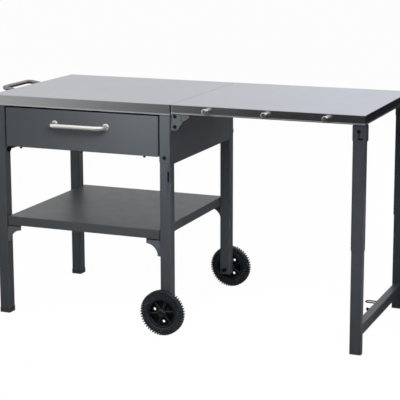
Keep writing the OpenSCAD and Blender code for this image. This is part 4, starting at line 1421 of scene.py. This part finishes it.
@dataclass
class Studio:
    """A pale floor, a white surround and soft lamps."""

    ambient: float = 0.27
    floor_side: float = 60.0
    floor_seen: float = 0.93
    floor_glow: float = 1.04
    floor_tone: float = 0.6
    lamps: tuple[Softbox, ...] = (
        Softbox("key_softbox", (-1.6, -3.0, 3.2), (0.0, 0.0, 0.5), 2.4, 60.0),
        Softbox("front_softbox", (0.6, -2.4, 1.8), (-0.1, 0.0, 0.75), 0.9, 20.0),
        Softbox("back_softbox", (1.6, 3.0, 3.2), (0.0, 0.0, 0.5), 2.4, 60.0),
        Softbox("cabinet_softbox", (0.02, -0.85, 1.12), (-0.1, -0.34, 0.82), 0.3, 2.7, 110.0),
        Softbox("side_softbox", (2.4, -1.0, 0.5), (0.05, -0.1, 0.15), 0.6, 3.5, 36.0),
    )
    flags: tuple[Flag, ...] = (
        Flag("front_flag", ((-4.2, -3.4, 0.0), (5.0, -3.4, 0.0), (5.0, -3.4, 1.8), (-4.2, -3.4, 1.8)),
             0.79, 0.015, -2.9, -0.78, (1.0, 0.965, 0.9), (1.0, 0.97, 0.94)),
        Flag("floor_flag", ((-4.2, -3.4, 0.002), (5.0, -3.4, 0.002), (5.0, 3.0, 0.002), (-4.2, 3.0, 0.002)),
             0.72, 0.015, -2.2, -0.3, (1.0, 0.98, 0.94)),
        Flag("back_card", ((-3.2, 3.2, 0.9), (0.6, 3.2, 0.9), (0.6, 3.2, 3.2), (-3.2, 3.2, 3.2)),
             1.0, 1.15, -1.7, 0.1, end_tint=(0.99, 1.0, 1.05)),
        Flag("rear_flag", ((0.7, 3.0, 0.0), (5.0, 3.0, 0.0), (5.0, 3.0, 3.4), (1.0, 3.0, 1.7)),
             end_tint=(0.7, 0.78, 1.0)),
        Flag("right_flag", ((5.0, -3.4, 0.0), (5.0, 3.0, 0.0), (5.0, 3.0, 2.2), (5.0, -3.4, 2.2))),
    )

    def seen(self, graph: Graph) -> Signal:
        """One for rays from the camera, from gloss and through glass, and zero for the rest.

        Args:
            graph: where nodes are added.

        Returns:
            One or zero.
        """
        path = graph.node("ShaderNodeLightPath")
        camera, glossy, clear = (Signal(graph, path.outputs[name]) for name in
                                 ("Is Camera Ray", "Is Glossy Ray", "Is Transmission Ray"))
        return camera.larger(glossy).larger(clear)

    def surround(self) -> None:
        """White where it is seen, and a soft even light where it lights the cart."""
        world = bpy.data.worlds.new("studio")
        world.use_nodes = True
        bpy.context.scene.world = world
        graph = Graph(world.node_tree)
        strength = self.seen(graph) * (1.0 - self.ambient) + self.ambient
        light = graph.node("ShaderNodeBackground", inputs={"Color": WHITE, "Strength": strength})
        graph.show(light, "World")

    def floor(self) -> None:
        """A pale floor that keeps a faint shadow."""
        made, graph = new_material("pale_floor")
        matt = graph.node("ShaderNodeBsdfDiffuse", inputs={"Color": rgba((1, 1, 1), self.floor_tone)})
        glow = graph.node("ShaderNodeEmission", inputs={"Color": WHITE, "Strength": self.floor_glow})
        share = self.seen(graph) * self.floor_seen
        inputs = {0: share, 1: matt.outputs[0], 2: glow.outputs[0]}
        graph.show(graph.node("ShaderNodeMixShader", inputs=inputs))
        half = self.floor_side / 2
        stage_sheet("floor", ((-half, -half, 0), (half, -half, 0), (half, half, 0), (-half, half, 0)), made)

    def assemble(self) -> None:
        """Makes the studio and sets how colours are shown."""
        self.surround()
        self.floor()
        for kit in self.lamps + self.flags:
            kit.assemble()
        bpy.context.scene.view_settings.view_transform = "Standard"


def main() -> None:
    """Builds the camera, the studio and each sub-assembly in order."""
    logging.basicConfig(level=logging.INFO, format="%(name)s: %(message)s")
    push = Handle("push_handle", "push_handle_rosettes", "side_handle", Body.CART, FACING_LEFT, 8.0,
                  FINISHES.shaded)
    pull = Handle("drawer_handle", "drawer_handle_rosettes", "drawer_pull", Body.DRAWER, FACING_FRONT)
    wheels = [Wheel("front", Body.FRONT_WHEEL, FACING_FRONT, 10.0),
              Wheel("rear", Body.REAR_WHEEL, FACING_REAR_WHEEL, 28.0)]
    parts = [Camera(), Studio(), Worktops(), Cabinet(), Drawer(), pull, push, *wheels, Leaf(), LeafLegs()]
    for part in parts:
        LOG.info("building %s", type(part).__name__)
        part.assemble()


if __name__ == "__main__":
    main()
